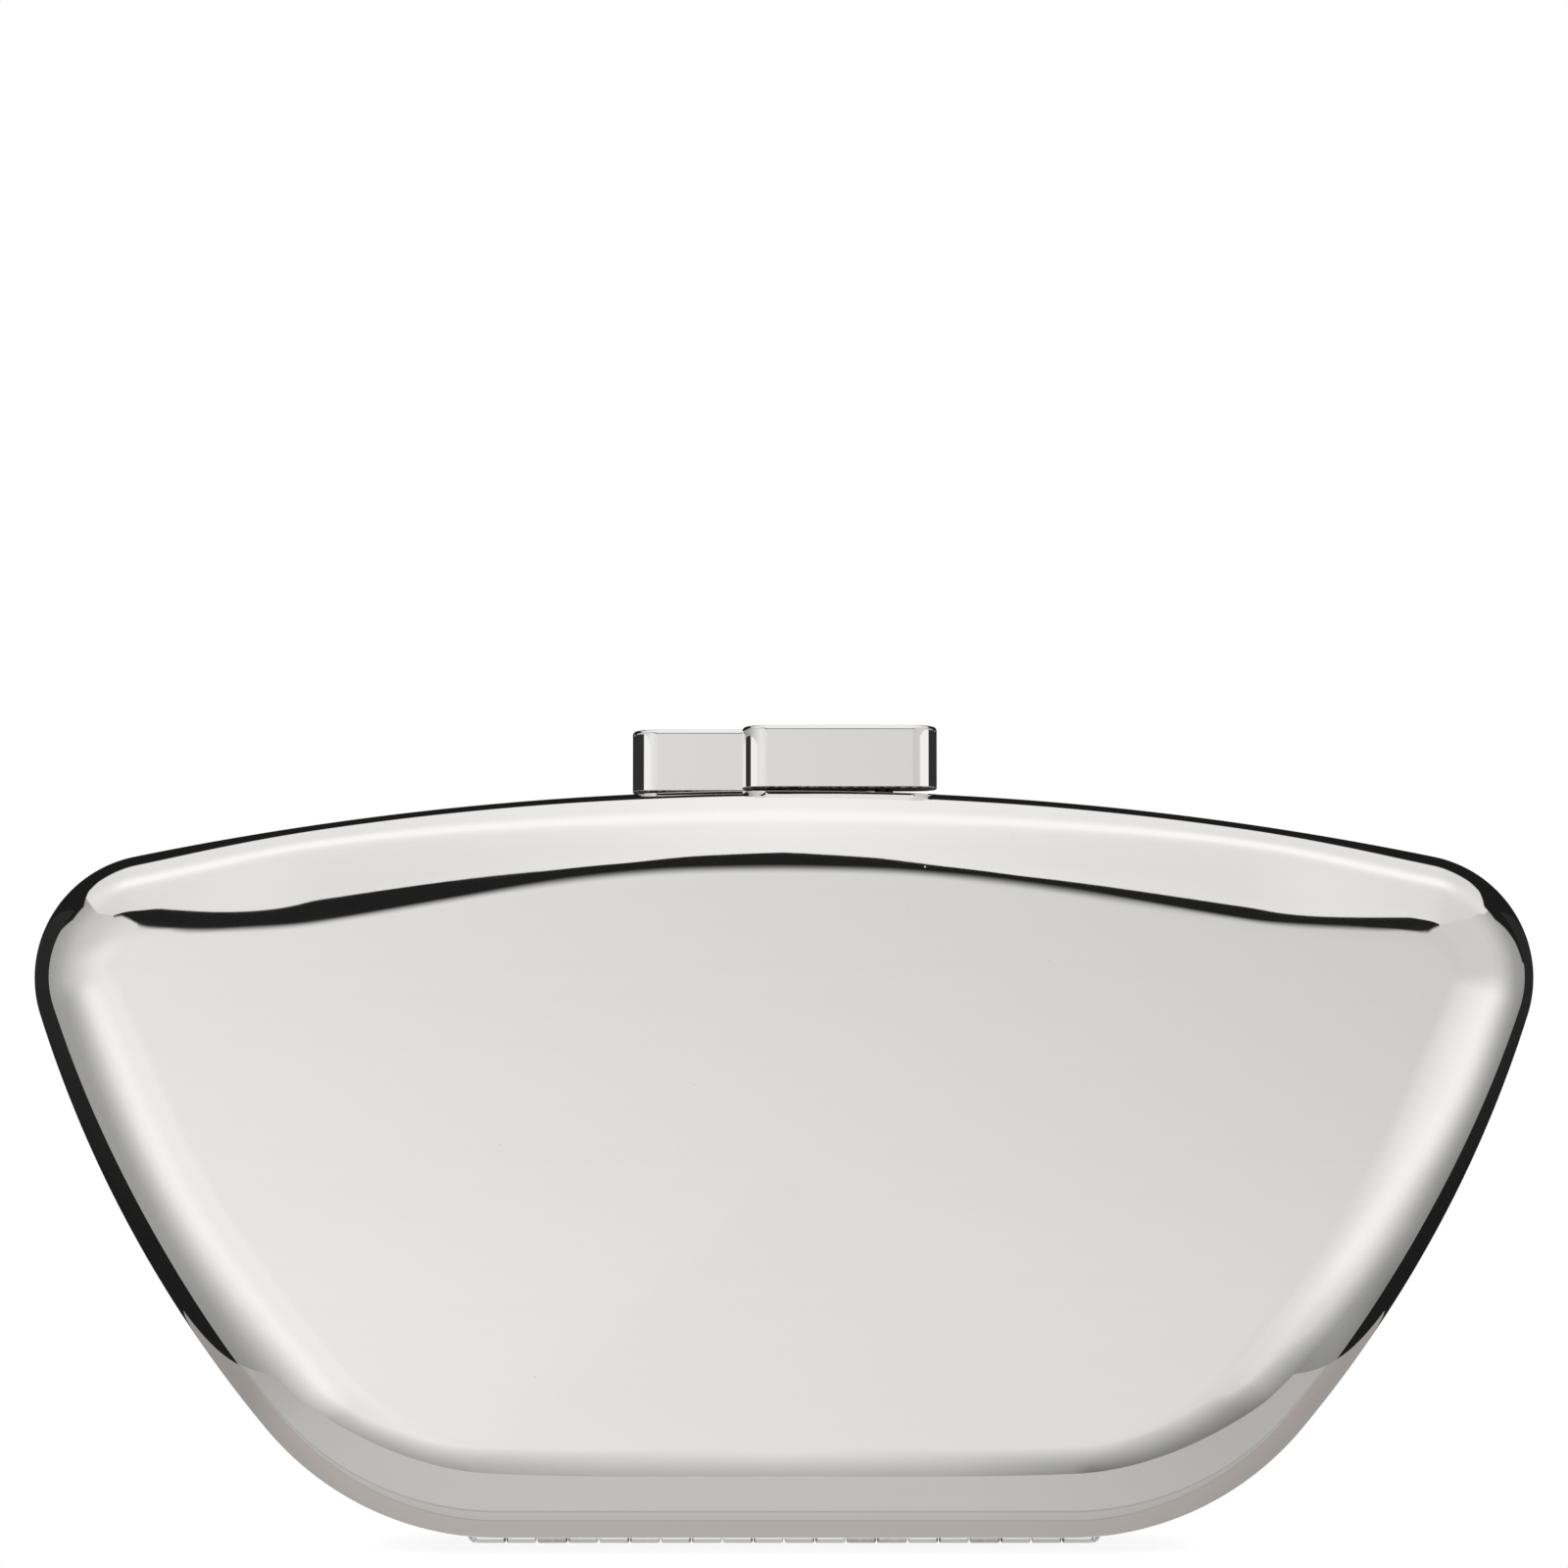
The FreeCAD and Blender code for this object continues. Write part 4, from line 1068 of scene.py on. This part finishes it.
white_end = end_card("white_end", white_card_level)
black_end = end_card("black_end", black_card_level)
for hand, x in (("left", -end_card_x), ("right", end_card_x)):
    white_feet = [(x, y) for y in white_card_y]
    black_feet = [(x, y) for y in black_card_y]
    only_mirrored(hand + "_white_card", stand(white_feet, end_card_low, end_card_high), white_end)
    only_mirrored(hand + "_black_card", stand(black_feet, end_card_low, end_card_high), black_end)

# Room. A pale screen wraps round the front and both sides and stops short of a light box overhead, and
# the dark room shows in the gap and behind. Everything but reflections sees even soft light.
left_floor_level = 0.82
right_floor_level = 0.685
high_loss = 0.13
lean_middle = 14
higher_middle = 0.05
gap_level = 0.014
lamp_level = 1.04
behind_level = 0.012
wall_level = 0.7
soft_light = 0.85

world = bpy.data.worlds.new("studio")
bpy.context.scene.world = world
world.use_nodes = True
room = world.node_tree


def number(operation, first, second=0.0):
    """One step of arithmetic on the room's numbers."""
    return add(room, "Math", {0: first, 1: second}, operation=operation).outputs[0]


def ramp(source, low, high, start=0.0, end=1.0, kind="SMOOTHSTEP"):
    """Go from start to end while the source goes from low to high."""
    inputs = {"Value": source, "From Min": low, "From Max": high, "To Min": start, "To Max": end}
    return add(room, "MapRange", inputs, interpolation_type=kind).outputs[0]


def curve(source, points):
    """A drawn curve through points that pair the source with a value."""
    low, high = points[0][0], points[-1][0]
    top = max(height for spot, height in points)
    node = add(room, "FloatCurve", {"Value": ramp(source, low, high, kind="LINEAR")})
    line = node.mapping.curves[0]
    for spot, height in points[1:-1]:
        line.points.new((spot - low) / (high - low), height / top)
    line.points[0].location = (0, points[0][1] / top)
    line.points[-1].location = (1, points[-1][1] / top)
    for point in line.points:
        point.handle_type = "VECTOR"
    node.mapping.update()
    return number("MULTIPLY", node.outputs[0], top)


def between(share, first, second):
    """Go from the first of the room's values to the second by a share."""
    return add(room, "Mix", {0: share, 2: first, 3: second}).outputs[0]


direction = add(room, "TexCoord", {}).outputs["Generated"]
side, back, up = add(room, "SeparateXYZ", {0: direction}).outputs
off_front = number("DEGREES", number("ARCCOSINE", number("MULTIPLY", back, -1.0)))
slant = number("DEGREES", number("ARCTAN2", up, number("ABSOLUTE", side)))
to_right = ramp(side, -0.13, 0.13, kind="LINEAR")

# The screen is brighter on the left, falls off towards both sides, and a lamp at hand height lights each
# side of it
left_level = curve(
    off_front,
    [
        (0, 0.845), (25, 0.845), (33, 0.83), (41, 0.79), (51, 0.71), (61, 0.63), (73, 0.54), (85, 0.44),
        (97, 0.38), (120, 0.32), (135, 0.6), (180, 0.7),
    ],
)
left_low = curve(
    off_front,
    [
        (0, 0.845), (18, 0.855), (28, 0.89), (34, 0.93), (41, 0.955), (47, 0.92), (54, 0.8), (61, 0.63),
        (69, 0.485), (77, 0.39), (86, 0.345), (120, 0.34), (135, 0.6), (180, 0.7),
    ],
)
left = between(ramp(slant, -1, -20), left_level, left_low)
left = between(ramp(slant, -38, -47), left, left_floor_level)
high_share = number("MULTIPLY", ramp(up, 0.15, 0.4), ramp(off_front, 75, 45, 0, high_loss))
left = number("MULTIPLY", left, number("SUBTRACT", 1, high_share))

right_level = curve(
    off_front,
    [
        (0, 0.685), (13, 0.67), (22, 0.64), (41, 0.635), (61, 0.64), (73, 0.6), (85, 0.5), (99, 0.36),
        (120, 0.3), (135, 0.6), (180, 0.7),
    ],
)
lean = curve(
    slant,
    [
        (-90, 31), (-37, 31), (-35, 24), (-32, 19.5), (-28, 17), (-24, 14), (-21, 8), (-18, 3),
        (-14, 0), (90, 0),
    ],
)
lean = number("MULTIPLY", number("SUBTRACT", lean, lean_middle), ramp(off_front, 20, 60))
right_low = curve(
    number("ADD", off_front, lean),
    [
        (0, 0.685), (14, 0.69), (20, 0.75), (28, 0.81), (37, 0.88), (46, 0.935), (53, 0.92), (60, 0.83),
        (68, 0.67), (78, 0.48), (89, 0.34), (102, 0.26), (120, 0.26), (135, 0.6), (180, 0.7),
    ],
)
right = between(ramp(slant, 5, -18), right_level, right_low)
right = between(ramp(slant, -30, -40), right, right_floor_level)
screen = between(to_right, left, right)
higher = curve(up, [(-1, 0.085), (-0.06, 0.085), (-0.02, 0.07), (0, 0.05), (0.02, 0.03), (0.05, 0), (1, 0)])
higher = number("MULTIPLY", number("SUBTRACT", higher, higher_middle), ramp(off_front, 30, 12))
screen = number("ADD", screen, higher)

# It darkens towards the floor, more on the right
low_start = between(
    to_right,
    curve(slant, [(-90, 8), (-82, 4), (-70, 6), (-57, 20), (-45, 38), (-37, 50), (-30, 60), (90, 180)]),
    curve(
        slant,
        [
            (-90, 8), (-80, 3), (-60, 5), (-55, 7), (-50, 12), (-46, 15), (-44, 18), (-42, 27),
            (-40, 35), (-38, 39), (-37, 45), (-36, 55), (-30, 64), (90, 180),
        ],
    ),
)
low_end = curve(slant, [(-90, 39), (-80, 39), (-57, 51), (-45, 56), (-37, 65), (-30, 80), (90, 200)])
low_depth = between(
    to_right,
    curve(
        slant,
        [
            (-90, 0.4), (-83, 0.43), (-75, 0.58), (-57, 0.6), (-45, 0.48), (-37, 0.2), (-28, 0),
            (90, 0),
        ],
    ),
    curve(
        slant,
        [
            (-90, 0.4), (-87, 0.48), (-83, 0.63), (-78, 0.77), (-57, 0.74), (-45, 0.7), (-40, 0.74),
            (-38, 0.72), (-37, 0.58), (-36, 0.48), (-28, 0), (90, 0),
        ],
    ),
)
past_start = number("SUBTRACT", off_front, low_start)
low_share = number("DIVIDE", past_start, number("SUBTRACT", low_end, low_start))
low_fade = number("MULTIPLY", ramp(low_share, 0, 1, kind="LINEAR"), low_depth)
screen = number("MULTIPLY", screen, number("SUBTRACT", 1.0, low_fade))

# Its upper edge is far off and soft in the middle, and crisp towards the corners
screen_end = curve(
    side,
    [
        (-1, 175), (-0.54, 175), (-0.49, 54), (-0.39, 49), (-0.21, 32.6), (-0.156, 22.7), (-0.12, 16.6),
        (-0.08, 21.5), (0, 22.3), (0.05, 20.4), (0.1, 21.2), (0.125, 18.6), (0.155, 19.7), (0.2, 26),
        (0.29, 34), (0.35, 175), (1, 175),
    ],
)
softness = curve(side, [(-1, 3.5), (-0.14, 3.5), (-0.09, 13), (0.09, 13), (0.14, 3.5), (1, 3.5)])
to_end = number("DIVIDE", number("SUBTRACT", screen_end, off_front), softness)
lit = number("MAXIMUM", ramp(to_end, 0, 1), ramp(slant, 38, 25))
screen = number("MAXIMUM", number("MULTIPLY", screen, lit), gap_level)

# The light box has a crisp front edge and is brightest in the middle and along its lamp
box_start = curve(
    side,
    [
        (-1, 110), (-0.71, 76.5), (-0.617, 65), (-0.493, 53.4), (-0.25, 46.5), (-0.2, 43.5),
        (-0.16, 38), (-0.105, 30.5), (-0.066, 28.8), (0, 35.8), (0.062, 25.1), (0.092, 24.1),
        (0.13, 27.8), (0.18, 33), (0.3, 33.3), (0.477, 46.9), (0.655, 63.6), (0.8, 90), (1, 120),
    ],
)
box_level = curve(
    off_front, [(0, 0.83), (50, 0.83), (74, 0.86), (86, 0.96), (93, 0.96), (106, 0.88), (180, 0.86)]
)
spread = curve(side, [(-1, 0.8), (-0.4, 0.87), (-0.2, 0.93), (0, 1.05), (0.2, 0.92), (0.4, 0.83), (1, 0.78)])
strip = curve(off_front, [(0, 0), (80, 0), (87, 1), (92, 1), (101, 0), (180, 0)])
strip = number("MULTIPLY", strip, ramp(number("ABSOLUTE", side), 0.55, 0.35))
box_level = number("MULTIPLY", box_level, between(strip, spread, lamp_level))
past_edge = ramp(number("SUBTRACT", off_front, box_start), 0, 0.7)
past_corner = ramp(number("SUBTRACT", slant, between(to_right, 45, 38.5)), 0, 1)
box_share = number("MULTIPLY", past_edge, past_corner)
seen = between(box_share, screen, box_level)

# Behind the box the room is dark up to a pale wall
dark_start = curve(
    slant,
    [
        (-90, 180), (2, 180), (8, 118), (18, 112), (26, 104), (33, 95), (42, 95), (48, 112), (54, 118),
        (72, 124), (75, 130), (83, 135), (90, 137),
    ],
)
dark_share = ramp(number("SUBTRACT", off_front, dark_start), -1.5, 1.5)
seen = between(dark_share, seen, ramp(off_front, 163, 167, behind_level, wall_level))

rays = add(room, "LightPath", {}).outputs
seen = between(rays["Is Glossy Ray"], soft_light, seen)
seen = between(rays["Is Camera Ray"], seen, 1.0)
background = room.nodes["Background"]
background.inputs["Color"].default_value = (1, 1, 1, 1)
room.links.new(seen, background.inputs["Strength"])

# Camera. A long lens a little below the middle of the case, aimed up slightly, with the case low in the
# picture.
camera = bpy.data.cameras.new("camera")
camera.sensor_width = 36
camera.lens = 118.65
camera.shift_y = 0.08
camera.clip_start = 0.01
viewer = bpy.data.objects.new("camera", camera)
bpy.context.scene.collection.objects.link(viewer)
viewer.location = (0, -0.7, 0.0503)
aim_at = Vector((0, 0, 0.0855))
aim = aim_at - viewer.location
viewer.rotation_euler = aim.to_track_quat("-Z", "Y").to_euler()
bpy.context.scene.camera = viewer
bpy.context.scene.view_settings.view_transform = "Standard"
